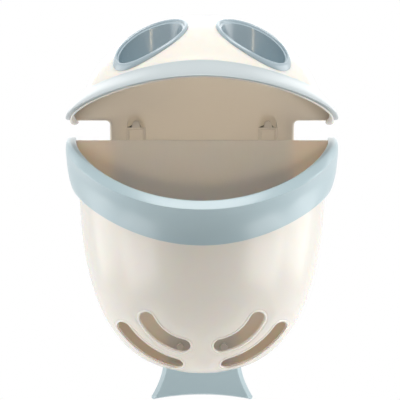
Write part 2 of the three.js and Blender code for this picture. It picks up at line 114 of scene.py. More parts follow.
def length(label, text, metres):
    """A size in metres that the sidebar shows in the scene's units."""
    return bpy.props.FloatProperty(name=label, description=text, default=metres, unit="LENGTH", precision=5)


def number(label, text, value):
    """A plain number, such as the power of a curve."""
    return bpy.props.FloatProperty(name=label, description=text, default=value, precision=3)


def colour(label, text, value):
    """A linear colour that the sidebar shows as a swatch."""
    return bpy.props.FloatVectorProperty(
        name=label, description=text, default=value, size=3, min=0, max=1, subtype="COLOR")


class OrganizerHead(bpy.types.PropertyGroup):
    """Sizes of the head and of the band round its mouth."""

    base: length("Base", "Height of the mouth's edge at the wall", HEAD_LOW.z)
    half_width: length("Half width", "Half width of the head above its flare", HEAD_HIGH.x - HEAD_FLARE)
    depth: length("Depth", "Depth of the head above its flare", 160 * MM)
    height: length("Height", "Height of the crown above the base", HEAD_HIGH.z - HEAD_LOW.z)
    wall: length("Wall", "Thickness of the shell", 2.8 * MM)
    rise: length("Rise", "Rise of the mouth's edge towards the front", 52.5 * MM)
    rise_power: number("Rise power", "How late the mouth's edge rises", 1.4)
    flare: length("Flare", "How far the mouth's edge turns out", HEAD_FLARE)
    flare_power: number("Flare power", "How late the edge turns out", 1.5)
    band_side: length("Band at the side", "Height of the band at the wall", 34 * MM)
    band_front: length("Band at the front", "Height of the band at the front", 18 * MM)
    band_edge: length("Band edge", "Thickness of the band at its top", 1.2 * MM)
    band_swell: length("Band swell", "Extra thickness of the band at its hem", 3.5 * MM)
    band_gap: length("Band gap", "Seam between band and shell", 0.3 * MM)
    hem_reveal: length("Hem reveal", "White edge that shows below the band", 1.3 * MM)
    foot_reveal: length("Foot reveal", "Extra white edge that shows at the two feet", 4 * MM)
    tip_droop: length("Tip droop", "Drop of the feet at the two ends", 5 * MM)
    tip_reach: number("Tip reach", "Share of the depth that a foot takes", 0.28)
    foot_width: length("Foot width", "Extra thickness of the shell at a foot", 6.5 * MM)
    foot_height: length("Foot height", "Height over which a foot thins to the shell", 9 * MM)


class OrganizerCups(bpy.types.PropertyGroup):
    """Sizes of the two eye cups."""

    offset: length("Offset", "Distance of a cup from the middle", (CUP_LOW.x + CUP_HIGH.x) / 2)
    depth: length("Depth", "Distance of a cup from the tiles", -(CUP_LOW.y + CUP_HIGH.y) / 2)
    radius: length("Radius", "Outer radius of a cup", 37 * MM)
    wall: length("Wall", "Thickness of a cup", 2.2 * MM)
    floor: length("Floor", "Height of a cup's underside", CUP_LOW.z)
    flange: length("Flange", "Width of the flange that rests on the head", 4 * MM)
    seat: length("Seat", "Seam between flange and head", 0.3 * MM)
    rim: length("Rim", "Height of the rounded rim", 2.6 * MM)
    rim_width: length("Rim width", "Width of the rounded rim", 4.6 * MM)
    fillet: length("Fillet", "Rounding of the floor's corner", 5 * MM)
    clearance: length("Clearance", "Play of a cup in its hole", 0.6 * MM)
    drain_radius: length("Drain radius", "Radius of a drain hole", 2.6 * MM)
    drain_circle: length("Drain circle", "Radius of the ring of drain holes", 17 * MM)
    drain_count: bpy.props.IntProperty(name="Drains", description="Number of drain holes", default=5, min=1)


class OrganizerBasket(bpy.types.PropertyGroup):
    """Sizes of the basket, its lip and its hangers."""

    half_width: length("Half width", "Half width of the basket below its lip", 140 * MM)
    depth: length("Depth", "Depth of the basket below its lip", 162 * MM)
    shoulder: length("Shoulder", "Height where the basket starts to narrow", -33 * MM)
    bottom: length("Bottom", "Height of the basket's lowest point", BASKET_LOW.z)
    roundness: number("Roundness", "Power of the basket's rounded outline", 2.65)
    wall: length("Wall", "Thickness of the shell", 2.8 * MM)
    flare: length("Flare", "How far the rim turns out", 6 * MM)
    flare_power: number("Flare power", "How late the rim turns out", 1.5)
    rim: length("Rim", "Height of the rim at the wall", -9.5 * MM)
    rim_drop: length("Rim drop", "Drop of the rim towards the front", 55 * MM)
    rim_power: number("Rim power", "How late the rim drops", 1.5)
    lip_low: length("Lip low", "Height of the lip's lower edge at the wall", -72 * MM)
    lip_drop: length("Lip drop", "Drop of the lip's lower edge towards the front", 40 * MM)
    lip_power: number("Lip power", "How late the lip's lower edge drops", 2.1)
    lip_edge: length("Lip edge", "Thickness of the lip at its edges", 1.5 * MM)
    lip_bulge: length("Lip bulge", "Extra thickness of the lip's sides at their middle", 8.9 * MM)
    lip_nose: length("Lip nose", "Height of the slope at the lip's upper edge", 8.2 * MM)
    lip_nose_depth: length("Lip nose depth", "Depth of the slope at the lip's upper edge", 9.8 * MM)
    lip_reach: length("Lip reach", "How far the lip's front face comes out", 8 * MM)
    lip_slope: number("Lip slope", "How late the lip's front face comes out", 3)
    lip_fullness: number("Lip fullness", "Power of the nose's curve, 1 for a flat slope", 1.06)
    lip_shoulder: number("Lip shoulder", "Power of the side's curve above its middle, 2 for a round", 3.2)
    lip_belly: number("Lip belly", "Power of the side's curve below its middle, 2 for a round", 2)
    lip_front_start: number("Lip front start", "Share of the depth where the front face begins", 0.12)
    lip_front_full: number("Lip front full", "Share of the depth where the front face is complete", 0.66)
    lip_cap: length("Lip cap", "Height of the cap over the shell's edge", 3 * MM)
    lip_gap: length("Lip gap", "Seam between lip and shell", 0.3 * MM)
    slot_border: length("Slot border", "Width of the border round a slot", 4.4 * MM)
    slot_groove_place: length("Slot groove place", "Distance of the border's groove from the slot", 2.8 * MM)
    slot_groove: length("Slot groove", "Depth of the border's groove", 0.5 * MM)
    slot_rim: length("Slot rim", "Height of the raised rim at the slot", 0.2 * MM)
    slot_dish: length("Slot dish", "Depth of the soft dish round the slots", 0.9 * MM)
    slot_dish_reach: length("Slot dish reach", "How far from a slot the dish begins", 14 * MM)
    hanger_offset: length("Hanger offset", "Distance of a hanger from the middle", 75 * MM)
    hanger_half_width: length("Hanger half width", "Half width of a hanger", 11 * MM)
    hanger_leg: length("Hanger leg", "Width of a hanger's leg", 3.2 * MM)
    hanger_bar: length("Hanger bar", "Height of a hanger's bar", 2.6 * MM)
    hanger_inset: length("Hanger inset", "How far a hanger's faces lie inside the rear wall's", 0.12 * MM)
    tongue_half_width: length("Tongue half width", "Half width of the tongue's foot", 5.2 * MM)
    tongue_radius: length("Tongue radius", "Radius of the tongue's top", 4 * MM)
    tongue_height: length("Tongue height", "Height of the tongue", 10 * MM)
    hook_half_width: length("Hook half width", "Half width of the hook", 4.5 * MM)
    hook_rise: length("Hook rise", "Height of the hook's arm", 4.2 * MM)
    hook_drop: length("Hook drop", "Drop of the hook behind its sill", 7 * MM)
    hook_thickness: length("Hook thickness", "Thickness of the hook", 3.4 * MM)


class OrganizerPlate(bpy.types.PropertyGroup):
    """Sizes of the wall plate."""

    standoff: length("Standoff", "Distance of the sheet from the tiles", 9.5 * MM)
    skirt: length("Skirt", "Thickness of the skirt", 2.6 * MM)
    neck: length("Neck", "Half width of the neck", 105 * MM)
    neck_fillet: length("Neck fillet", "Rounding between neck and head", 5 * MM)
    neck_round: length("Neck round", "Rounding of the neck's front edge", 4.5 * MM)
    head_round: length("Head round", "Rounding of the plate's edge behind the head", 0.5 * MM)
    bottom: length("Bottom", "Height of the plate's lower end", PLATE_LOW.z)
    corner: length("Corner", "Rounding of the lower corners", 34 * MM)
    rib: length("Rib", "Thickness of the rear rib", 2.4 * MM)
    pad_half_width: length("Pad half width", "Half width of the bearing pad", 17 * MM)
    pad_half_height: length("Pad half height", "Half height of the bearing pad", 9 * MM)
    window_half_width: length("Window half width", "Half width of a hook's window", 9.8 * MM)
    window_sill: length("Window sill", "Height of a window's sill", -1 * MM)
    window_height: length("Window height", "Height of a window", 17 * MM)
    window_cover: length("Window cover", "Thickness of the cover behind a window", 2.2 * MM)
    hook_room: length("Hook room", "Play of a hook in its cover", 0.8 * MM)
    pocket_setback: length("Pocket setback", "How far a stud's pocket stands behind the sheet", 3.2 * MM)
    pocket_floor: length("Pocket floor", "Thickness of a pocket's floor", 2.5 * MM)
    pocket_radius: length("Pocket radius", "Inner radius of a pocket", 8.3 * MM)
    pocket_wall: length("Pocket wall", "Thickness of a pocket's wall", 3 * MM)
    stud_hole: length("Stud hole", "Radius of the hole for a stud", 4.5 * MM)
    screw_hole: length("Screw hole", "Radius of a hole for a screw", 2.1 * MM)


class OrganizerTail(bpy.types.PropertyGroup):
    """Sizes of the tail fin."""

    shank: length("Shank", "Length of the straight stretch", 26 * MM)
    half_width: length("Half width", "Half width of the shank", 40 * MM)
    spread: length("Spread", "How far the tips spread", 15 * MM)
    spread_power: number("Spread power", "How late the tips spread", 2.1)
    arch: length("Arch", "Rise of the lower edge at its middle", 6 * MM)
    draft: length("Draft", "How much wider the tail is at the wall", 4 * MM)
    wall: length("Wall", "Thickness of the tail", 2.8 * MM)
    round: length("Round", "Rounding of the front edge", 1.1 * MM)
    corner: length("Corner", "Rounding of the lower corners", 4 * MM)


class OrganizerFasteners(bpy.types.PropertyGroup):
    """Sizes of the suction cups, screws and bosses."""

    cup_ring: length("Cup ring", "Width of a suction cup's flat ring", 4 * MM)
    cup_hollow: length("Cup hollow", "Depth of a suction cup's dish", 3.2 * MM)
    cup_edge: length("Cup edge", "Thickness of a suction cup's edge", 1.2 * MM)
    stud_radius: length("Stud radius", "Radius of a stud's neck", 4.2 * MM)
    stud_head: length("Stud head", "Radius of a stud's head", 7 * MM)
    stud_height: length("Stud height", "Height of a stud's head", 2.6 * MM)
    screw_head: length("Screw head", "Height of a screw's head", 2.2 * MM)
    screw_flat: number("Screw flat", "Share of a screw head's radius that is flat", 0.7)
    screw_shank: length("Screw shank", "Radius of a screw's shank", 1.5 * MM)
    cross_length: length("Cross length", "Length of the cross recess", 4.4 * MM)
    cross_width: length("Cross width", "Width of the cross recess", 1 * MM)
    cross_depth: length("Cross depth", "Depth of the cross recess", 1.1 * MM)
    boss_radius: length("Boss radius", "Radius of a screw boss", 4.4 * MM)
    boss_length: length("Boss length", "Length of a boss in the head", 15 * MM)
    tail_boss_length: length("Tail boss length", "Length of a boss in the basket", 9.5 * MM)


class OrganizerFinishes(bpy.types.PropertyGroup):
    """Colours of the organizer."""

    white: colour("White", "Warm white of the shells", (0.912, 0.836, 0.77))
    white_shade: colour("White shade", "Slightly yellower white", (0.897, 0.811, 0.735))
    # Painted warm shade: the plate's white is the shells' white with less blue, so the plate and the hangers
    # look warmer in the shade of the mouth. They are the same white plastic as the shells.
    plate: colour("Plate", "White of the wall plate and the hangers", (0.912, 0.846, 0.735))
    plate_shade: colour("Plate shade", "Slightly yellower white of the plate", (0.897, 0.823, 0.7))
    blue_grey: colour("Blue-grey", "Blue-grey of the lower lip and the tail", (0.46, 0.59, 0.635))
    blue_shade: colour("Blue-grey shade", "Slightly darker blue-grey", (0.43, 0.56, 0.605))
    # Painted reflection: the band is the lip's blue-grey plastic, given a paler, more neutral grey that
    # stands in for the white reflection on it.
    band: colour("Band", "Paler grey of the band round the head", (0.50, 0.56, 0.575))
    band_shade: colour("Band shade", "Slightly darker grey of the band", (0.47, 0.53, 0.55))
    # Painted shade: the cups are the lip's blue-grey plastic, given a deeper blue-grey that stands in for
    # the shade inside them.
    cup: colour("Cup", "Deeper blue-grey of the eye cups", (0.36, 0.455, 0.505))
    cup_shade: colour("Cup shade", "Slightly darker blue-grey of the cups", (0.335, 0.43, 0.48))
    clear: colour("Clear", "Tint of the soft suction cups", (0.86, 0.92, 0.92))
    steel: colour("Steel", "Zinc of the screws", (0.62, 0.63, 0.65))


class OrganizerStage(bpy.types.PropertyGroup):
    """Camera, lights and floor."""

    camera_distance: length("Camera distance", "Distance of the camera from its aim", 1.75)
    camera_elevation: bpy.props.FloatProperty(
        name="Camera elevation", description="Angle of the camera above the horizon",
        default=math.radians(6), subtype="ANGLE")
    aim_height: length("Aim height", "Height that the camera aims at", -82.7 * MM)
    focal_pixels: number("Focal length", "Focal length in pixels of the picture", 1519)
    picture_pixels: number("Picture width", "Width of the picture in pixels", 400)
    shift_pixels: number("Shift", "Pixels that the object stands right of the middle", 2)
    floor_drop: length("Floor drop", "Distance of the floor below the tail", 190 * MM)
    floor_radius: length("Floor radius", "Radius of the floor", 0.55)
    floor_grey: colour("Floor grey", "Pale grey of the floor", (0.86, 0.86, 0.86))
    ambient: number("Ambient", "Strength of the light from all round", 0.3)
    light_level: number("Light level", "Factor on the power of all lamps", 1.01)


GROUPS = {
    "organizer_head": OrganizerHead,
    "organizer_cups": OrganizerCups,
    "organizer_basket": OrganizerBasket,
    "organizer_plate": OrganizerPlate,
    "organizer_tail": OrganizerTail,
    "organizer_fasteners": OrganizerFasteners,
    "organizer_finishes": OrganizerFinishes,
    "organizer_stage": OrganizerStage,
}


class Slot(NamedTuple):
    """A curved drain slot in the front view: an arc left of the middle, mirrored on the right."""

    offset: float
    rise: float
    radius: float
    width: float
    start: float
    end: float


SLOTS = (
    Slot(11 * MM, 101.4 * MM, 53.7 * MM, 16.7 * MM, math.radians(205.6), math.radians(259.3)),
    Slot(2.9 * MM, 122 * MM, 103.4 * MM, 15.9 * MM, math.radians(216.4), math.radians(255.4)),
)


class Lamp(NamedTuple):
    """A soft lamp: its place, its width and height in metres, its watts, and its aim, spread and tint."""

    name: str
    place: Vector
    width: float
    height: float
    power: float
    aim: Vector = Vector((0, -0.08, -0.06))
    spread: float = math.pi
    tint: tuple = (1, 1, 1)


LAMPS = (
    Lamp("side_lamp_left", Vector((-1.2, 0.2, 0.0)), 1.0, 1.2, 6),
    Lamp("side_lamp_right", Vector((1.2, 0.2, 0.0)), 1.0, 1.2, 8),
    Lamp("top_lamp", Vector((0, -0.42, 1.3)), 1.1, 0.6, 15),
    Lamp("low_lamp_left", Vector((-0.8, -0.4, -0.45)), 0.6, 0.3, 1.65),
    Lamp("low_lamp_right", Vector((0.8, -0.4, -0.45)), 0.6, 0.3, 1.95),
    Lamp("rear_lamp", Vector((0, 1.4, 0.6)), 1.6, 1.2, 6),
    Lamp("mouth_lamp", Vector((0, -1.6, 0)), 0.4, 0.25, 0.022,
         aim=Vector((0, 0, 0.01)), spread=math.radians(10), tint=(1, 0.77, 0.5)),
)


class Plastic(NamedTuple):
    """A moulded plastic: the names of its two colours, its roughness, its skin, its glow and its coat."""

    colour: str
    shade: str
    roughness: float
    skin: float
    glow: float = 0
    coat: float = 0


PLASTICS = {
    "white_plastic": Plastic("white", "white_shade", 0.24, 0.05, glow=0.65),
    # Painted warm shade: the plate and the hangers take a yellower copy of the white, without glow.
    "plate_painted_warm_shade_plastic": Plastic("plate", "plate_shade", 0.24, 0.05),
    "blue_grey_plastic": Plastic("blue_grey", "blue_shade", 0.3, 0.06, coat=0.1),
    # Painted reflection: the band takes a paler, more neutral copy of the blue-grey.
    "band_painted_reflection_plastic": Plastic("band", "band_shade", 0.3, 0.06, coat=0.1),
    # Painted shade: the eye cups take a deeper copy of the blue-grey.
    "cup_painted_shade_plastic": Plastic("cup", "cup_shade", 0.26, 0.02, coat=0.5),
}


class Grain(NamedTuple):
    """A noise: how fine it is, per metre, and its detail."""

    scale: float
    detail: float


FLOW_MARKS = Grain(14, 3)
DUST = Grain(420, 4)
PEEL = Grain(260, 2)
HAZE = Grain(180, 3)
TURNING_MARKS = Grain(1600, 3)
MEAN_NOISE = 0.5

# What the plastics share
GLOSS_CHANGE = 0.08
PEEL_HEIGHT = 0.3 * MM
PLASTIC_IOR = 1.5
GLOW_COLOUR = (1, 0.62, 0.38)
GLOW_REACH = 7 * MM
COAT_ROUGHNESS = 0.12

# The suction cups' soft plastic
SOFT_ROUGHNESS = 0.18
SOFT_HAZE = 0.16
SOFT_CLEARNESS = 0.75
SOFT_IOR = 1.45

# The screws' zinc
ZINC_ROUGHNESS = 0.26
ZINC_CHANGE = 0.14
ZINC_SKIN = 0.2
TURNING_HEIGHT = 0.05 * MM

# Sockets of a Mix node that blends colours
MIX_SHARE = 0
MIX_FIRST = 6
MIX_SECOND = 7
MIX_RESULT = 2


# Meshes


def clamp(value, low=0.0, high=1.0):
    return min(max(value, low), high)


def smoothstep(value, low, high):
    share = clamp((value - low) / (high - low))
    return share * share * (3 - 2 * share)


def spaced(first, last, steps):
    """Evenly spaced values, both ends included."""
    return [first + (last - first) * step / steps for step in range(steps + 1)]


def quarter_turn(steps):
    """Angles from nothing to a right angle, both included."""
    return spaced(0, math.pi / 2, steps)


def new_piece(name, mesh):
    piece = bpy.data.objects.new(name, mesh)
    bpy.context.scene.collection.objects.link(piece)
    return piece


def smooth(mesh):
    """Smooth shading, with the true corners kept sharp."""
    mesh.polygons.foreach_set("use_smooth", [True] * len(mesh.polygons))
    mesh.set_sharp_from_angle(angle=SMOOTH_ANGLE)
    mesh.update()


def build(name, points, faces):
    """A piece from points and faces, with its coincident points merged and its faces turned outwards."""
    work = bmesh.new()
    corners = [work.verts.new(point) for point in points]
    for face in faces:
        work.faces.new([corners[index] for index in face])
    mesh = bpy.data.meshes.new(name)
    tidy_into(work, mesh)
    return new_piece(name, mesh)


def tidy_into(work, mesh):
    """Merges coincident points, drops what has no face, and writes a smooth mesh."""
    bmesh.ops.remove_doubles(work, verts=work.verts, dist=MERGE_DISTANCE)
    bmesh.ops.dissolve_degenerate(work, edges=work.edges, dist=MERGE_DISTANCE)
    bmesh.ops.delete(work, geom=[edge for edge in work.edges if not edge.link_faces], context="EDGES")
    bmesh.ops.delete(work, geom=[vert for vert in work.verts if not vert.link_faces], context="VERTS")
    bmesh.ops.recalc_face_normals(work, faces=work.faces)
    work.to_mesh(mesh)
    work.free()
    smooth(mesh)


def combine(piece, others, operation):
    """Joins other solids to a piece, or cuts them out of it."""
    for other in others:
        modifier = piece.modifiers.new("combine", "BOOLEAN")
        modifier.operation = operation
        modifier.solver = "EXACT"
        modifier.object = other
    settle(piece)
    for other in others:
        bpy.data.objects.remove(other)


def settle(piece):
    """Turns a piece's modifiers into its mesh."""
    graph = bpy.context.evaluated_depsgraph_get()
    mesh = bpy.data.meshes.new_from_object(piece.evaluated_get(graph))
    piece.modifiers.clear()
    piece.data = mesh
    work = bmesh.new()
    work.from_mesh(mesh)
    bmesh.ops.holes_fill(work, edges=[edge for edge in work.edges if edge.is_boundary], sides=0)
    tidy_into(work, mesh)


def bevel(piece, width, segments):
    """Rounds the sharp edges of a piece."""
    modifier = piece.modifiers.new("round", "BEVEL")
    modifier.width = width
    modifier.segments = segments
    modifier.limit_method = "ANGLE"
    modifier.angle_limit = SMOOTH_ANGLE
    settle(piece)


def dress(piece, body, slot, node, kind=None):
    """Puts a piece on its body in place of a CAD node, in a finish of its own or in its slot's."""
    piece.data.materials.clear()
    piece.data.materials.append(finish_of(kind or slot))
    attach(piece, body)
    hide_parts(node)


def quads(near, far, closed=True):
    """Faces between two rows of point numbers."""
    faces = []
    for here in range(len(near) if closed else len(near) - 1):
        following = (here + 1) % len(near)
        faces.append((near[here], near[following], far[following], far[here]))
    return faces


def strip(loops, closed=True):
    """Points and faces of a skin through loops with equal counts of points."""
    count = len(loops[0])
    rows = [range(first, first + count) for first in range(0, count * len(loops), count)]
    points = [point for loop in loops for point in loop]
    return points, [face for near, far in zip(rows, rows[1:]) for face in quads(near, far, closed)]


def capped(loops):
    """Points and faces of a skin through loops, with its first and last loop filled."""
    points, faces = strip(loops)
    count = len(loops[0])
    faces.append(tuple(range(count)))
    faces.append(tuple(range(len(points) - count, len(points))))
    return points, faces


def swept(name, section_at, closed):
    """A section carried round the front; its rear ends are closed from the outer half to the inner."""
    loops = [section_at(angle) for angle in spaced(0, math.pi, SWEEP_STEPS)]
    points, faces = strip(loops, closed)
    count = len(loops[0])
    for first in (0, SWEEP_STEPS * count):
        for index in range(count // 2 - 1):
            mate = count - 1 - index
            faces.append((first + index, first + index + 1, first + mate - 1, first + mate))
        if count % 2:
            middle = first + count // 2
            faces.append((middle - 1, middle, middle + 1))
    return build(name, points, faces)


def front_point(x, z, depth):
    return Vector((x, -depth, z))


def prism(name, outline, near, far):
    """A solid with a front-view outline, from one depth to another."""
    loops = [[front_point(x, z, depth) for x, z in outline] for depth in (near, far)]
    return build(name, *capped(loops))


def rectangle(left, right, bottom, top):
    return [(left, bottom), (right, bottom), (right, top), (left, top)]


def cross(x, half, low, high, wide, bottom, top):
    """Outline of an upright bar with a wider bar across it."""
    right = [(half, low), (half, bottom), (wide, bottom), (wide, top), (half, top), (half, high)]
    return [(x + out, z) for out, z in right] + [(x - out, z) for out, z in reversed(right)]


def arc(x, z, radius, start, end, steps):
    """Points of an arc in the front view, both ends included."""
    return [(x + radius * math.cos(turn), z + radius * math.sin(turn)) for turn in spaced(start, end, steps)]


def circle(x, z, radius, steps):
    """Points of a full circle."""
    return arc(x, z, radius, 0, math.tau, steps)[:-1]


def turned(name, profile, x, z, steps):
    """A round solid on an axis square to the tiles, from (radius, depth) points."""
    loops = []
    for radius, depth in profile:
        loops.append([front_point(px, pz, depth) for px, pz in circle(x, z, radius, steps)])
    return build(name, *strip(loops))


def rod(name, node, radius, near, far, steps):
    """A straight round solid at a node's place in the front view."""
    return turned(name, [(0, near), (radius, near), (radius, far), (0, far)], *node_centre(node), steps)


def upright(name, x, depth, radius, bottom, top, steps):
    """An upright round solid."""
    ring = circle(x, depth, radius, steps)
    loops = [[front_point(px, height, py) for px, py in ring] for height in (bottom, top)]
    return build(name, *capped(loops))


def node_centre(node):
    """Middle of a node in the front view."""
    low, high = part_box(node)
    return (low.x + high.x) / 2, (low.z + high.z) / 2


# Head


def plan_point(angle, half_width, depth, height):
    """Point on half an ellipse in plan, from the left rear to the right rear."""
    return Vector((-half_width * math.cos(angle), -(SHELL_REAR + depth * math.sin(angle)), height))


def tip_drop(head, angle):
    """Drop of the mouth's edge at its two feet."""
    near = max(1 - (math.sin(angle) / head.tip_reach) ** 2, 0)
    return head.tip_droop * near ** 2


def head_edge(head, angle):
    """Height of the mouth's edge, without the drop at its feet."""
    return head.base + head.rise * max(math.sin(angle), 0) ** head.rise_power


def band_height(head, angle):
    return head.band_side + (head.band_front - head.band_side) * math.sin(angle)


def head_flare(head, angle, height):
    """How far the head's surface turns out at a height."""
    share = clamp(1 - (height - head_edge(head, angle)) / band_height(head, angle))
    return head.flare * math.sin(math.pi / 2 * share) ** head.flare_power


def head_point(head, angle, height, out, grow):
    """Point of the dome, which is larger by grow all round and lies further out in plan by out."""
    climb = max(height - head.base, 0) / (head.height + grow)
    scale = math.sqrt(max(1 - climb ** 2, 0))
    half_width = (head.half_width + grow) * scale + out
    return plan_point(angle, half_width, (head.depth + grow) * scale + out, height)


def dome_height(head, x, depth, grow):
    """Height of the dome above a place in plan."""
    across = (x / (head.half_width + grow)) ** 2
    along = ((depth - SHELL_REAR) / (head.depth + grow)) ** 2
    return head.base + (head.height + grow) * math.sqrt(max(1 - across - along, 0))


def hem_wall(head, angle):
    """Thickness of the shell at its hem, which is larger at the two feet."""
    return head.wall + head.foot_width * tip_drop(head, angle) / head.tip_droop


def hem_round(head, angle):
    """Height of the hem's rounding: half the wall, and a quarter of what a foot adds to it."""
    return head.wall / 2 + (hem_wall(head, angle) - head.wall) / 4


def head_rows(head, angle, inside):
    """Points of one face from just above the hem up to the crown."""
    edge = head_edge(head, angle)
    band_top = edge + band_height(head, angle)
    start = edge + hem_round(head, angle) - tip_drop(head, angle)
    extra = hem_wall(head, angle) - head.wall
    rows = []
    for height in spaced(start, band_top, FLARE_STEPS)[:-1]:
        wall = head.wall + extra * (1 - smoothstep(height, start, start + head.foot_height))
        rows.append(head_point(head, angle, height, head_flare(head, angle, height), -wall if inside else 0))
    grow = -head.wall if inside else 0
    crown = head.height + grow
    first = math.asin((band_top - head.base) / crown)
    for turn in spaced(first, math.pi / 2, DOME_STEPS)[:-1]:
        rows.append(head_point(head, angle, head.base + crown * math.sin(turn), 0, grow))
    rows.append(Vector((0, -SHELL_REAR, head.base + crown)))
    return rows


def head_section(head, angle):
    """Outer face down from the crown, a half-round hem, and the inner face up again."""
    hem = []
    low = head_edge(head, angle) - tip_drop(head, angle)
    for turn in spaced(0, math.pi, HEM_STEPS)[1:-1]:
        grow = -hem_wall(head, angle) / 2 * (1 - math.cos(turn))
        height = low + hem_round(head, angle) * (1 - math.sin(turn))
        hem.append(head_point(head, angle, height, head_flare(head, angle, height), grow))
    return [*reversed(head_rows(head, angle, inside=False)), *hem, *head_rows(head, angle, inside=True)]


def head_shell(head, cups):
    """Dome with a flared edge and a hole for each eye cup."""
    shell = swept("head_shell_skin", lambda angle: head_section(head, angle), closed=False)
    radius = cups.radius + cups.clearance
    top = head.base + head.height + cups.radius
    holes = [
        upright("eye_hole", side * cups.offset, cups.depth, radius, cups.floor, top, ROUND_STEPS)
        for side in SIDES.values()
    ]
    combine(shell, holes, "DIFFERENCE")
    return shell


def boss(name, node, start, end, fasteners):
    """A blind screw boss with a bevelled end."""
    hole, outside = fasteners.screw_shank, fasteners.boss_radius
    edge = hole / 2
    profile = [
        (hole, start), (outside, start), (outside, end - edge), (outside - edge, end),
        (0, end), (0, end - 2 * edge), (hole, end - 2 * edge), (hole, start),
    ]
    return turned(name, profile, *node_centre(node), ROUND_STEPS // 2)


def band_section(head, angle):
    """Blue-grey band: its outer face up from the hem, rounded at both edges, and its seat down again."""
    droop = tip_drop(head, angle)
    reveal = head.hem_reveal + head.foot_reveal * droop / head.tip_droop
    low = head_edge(head, angle) + reveal - droop
    high = head_edge(head, angle) + band_height(head, angle)
    lower_round = head.band_swell / 2
    upper_round = head.band_edge
    turns = quarter_turn(HEM_STEPS)
    heights = [low + lower_round * (1 - math.cos(turn)) for turn in turns[:-1]]
    heights += spaced(low + lower_round, high - upper_round, FLARE_STEPS)
    heights += [high - upper_round * (1 - math.sin(turn)) for turn in turns[1:]]
    outer, seat = [], []
    for height in heights:
        flare = head_flare(head, angle, height)
        below_round = 1 - clamp((height - low) / lower_round)
        above_round = 1 - clamp((high - height) / upper_round)
        rounding = math.sqrt(1 - below_round ** 2) * math.sqrt(1 - above_round ** 2)
        thickness = (head.band_edge + head.band_swell * flare / head.flare) * rounding
        outer.append(head_point(head, angle, height, flare + head.band_gap + thickness, 0))
        seat.append(head_point(head, angle, height, flare + head.band_gap, 0))
    return [*outer, *reversed(seat)]


# Eye cups


def cup_corner(cups, radius, floor):
    """Rounded corner of a cup from its floor up to its wall, as (radius, height) points."""
    points = []
    for turn in quarter_turn(ARC_STEPS):
        height = floor + cups.fillet * (1 - math.cos(turn))
        points.append((radius - cups.fillet * (1 - math.sin(turn)), height))
    return points


def eye_cup(name, side, head, cups):
    """A cup that hangs in the head by its flange, under a rounded rim that follows the dome."""
    centre = side * cups.offset
    flange = cups.radius + cups.flange
    inside = cups.radius - cups.wall
    floor_top = cups.floor + cups.wall
    outer = [(0, cups.floor), *cup_corner(cups, cups.radius, cups.floor)]
    inner = [*reversed(cup_corner(cups, inside, floor_top)), (0, floor_top)]
    rim = [(cups.radius, cups.seat), (flange, cups.seat)]
    for turn in spaced(0, math.pi, 2 * ARC_STEPS)[1:]:
        radius = flange - cups.rim_width / 2 * (1 - math.cos(turn))
        rim.append((radius, cups.seat + cups.rim * math.sin(turn)))
    rim.append((inside, cups.seat - cups.wall / 2))

    def level(radius, height):
        ring = circle(centre, cups.depth, radius, CUP_STEPS)
        return [front_point(x, height, depth) for x, depth in ring]

    def along_dome(radius, above):
        ring = circle(centre, cups.depth, radius, CUP_STEPS)
        return [front_point(x, dome_height(head, x, depth, above), depth) for x, depth in ring]

    loops = [level(*place) for place in outer]
    loops += [along_dome(*place) for place in rim]
    loops += [level(*place) for place in inner]
    cup = build(name, *strip(loops))
    low, high = cups.floor - cups.wall, floor_top + cups.wall
    drains = [
        upright("drain", x, depth, cups.drain_radius, low, high, ROUND_STEPS // 4)
        for x, depth in circle(centre, cups.depth, cups.drain_circle, cups.drain_count)
    ]
    combine(cup, drains, "DIFFERENCE")
    return cup


# Wall plate


def plate_half(head, plate, inset):
    """Right half of the plate's outline from its lower end up to the crown, drawn in by an inset."""
    base = head.base + inset
    neck = plate.neck - inset
    corner = plate.corner - inset
    bottom = plate.bottom + inset
    fillet = plate.neck_fillet + inset
    top = head.base + head.height - inset
    points = [(0, bottom)]
    points += arc(neck - corner, bottom + corner, corner, -math.pi / 2, 0, ARC_STEPS)
    points += arc(neck + fillet, base - fillet, fillet, math.pi, math.pi / 2, ARC_STEPS)
    for turn in quarter_turn(2 * DOME_STEPS)[:-1]:
        height = base + (top - base) * math.sin(turn)
        point = head_point(head, math.pi, height, head_flare(head, math.pi, height), -inset)
        points.append((point.x, height))
    points.append((0, top))
    return points


def plate_loop(head, plate, inset_at, depth_at):
    """Whole outline, whose insets and depths may change from the neck to the head."""
    neck_points = 2 * (ARC_STEPS + 1) + 1
    half = []
    for index in range(len(plate_half(head, plate, 0))):
        on_neck = clamp((neck_points - index) / ARC_STEPS)
        x, z = plate_half(head, plate, inset_at(on_neck))[index]
        half.append(front_point(x, z, depth_at(on_neck)))
    mirrored = [Vector((-point.x, point.y, point.z)) for point in reversed(half[1:-1])]
    return [*half, *mirrored]


def wall_plate(head, plate, basket):
    """Sheet on a skirt, with a rounded neck, windows for the hooks and pockets for the studs."""
    def edge(on_neck):
        return plate.head_round + (plate.neck_round - plate.head_round) * on_neck

    def ring(inset, depth):
        return plate_loop(head, plate, lambda on_neck: inset, lambda on_neck: depth)

    loops = [ring(plate.skirt, plate.standoff), ring(plate.skirt, plate.head_round)]
    loops += [ring(plate.skirt / 2, 0), ring(plate.head_round, 0), ring(0, plate.head_round)]
    for turn in quarter_turn(HEM_STEPS):
        loops.append(plate_loop(
            head, plate,
            lambda on_neck: edge(on_neck) * (1 - math.cos(turn)),
            lambda on_neck: PLATE_FRONT - edge(on_neck) * (1 - math.sin(turn))))
    sheet = build("wall_plate_moulding", *capped(loops))
    windows = plate_windows(plate, basket)
    combine(sheet, plate_bosses(head, plate, windows), "UNION")
    combine(sheet, plate_holes(plate, windows), "DIFFERENCE")
    return sheet


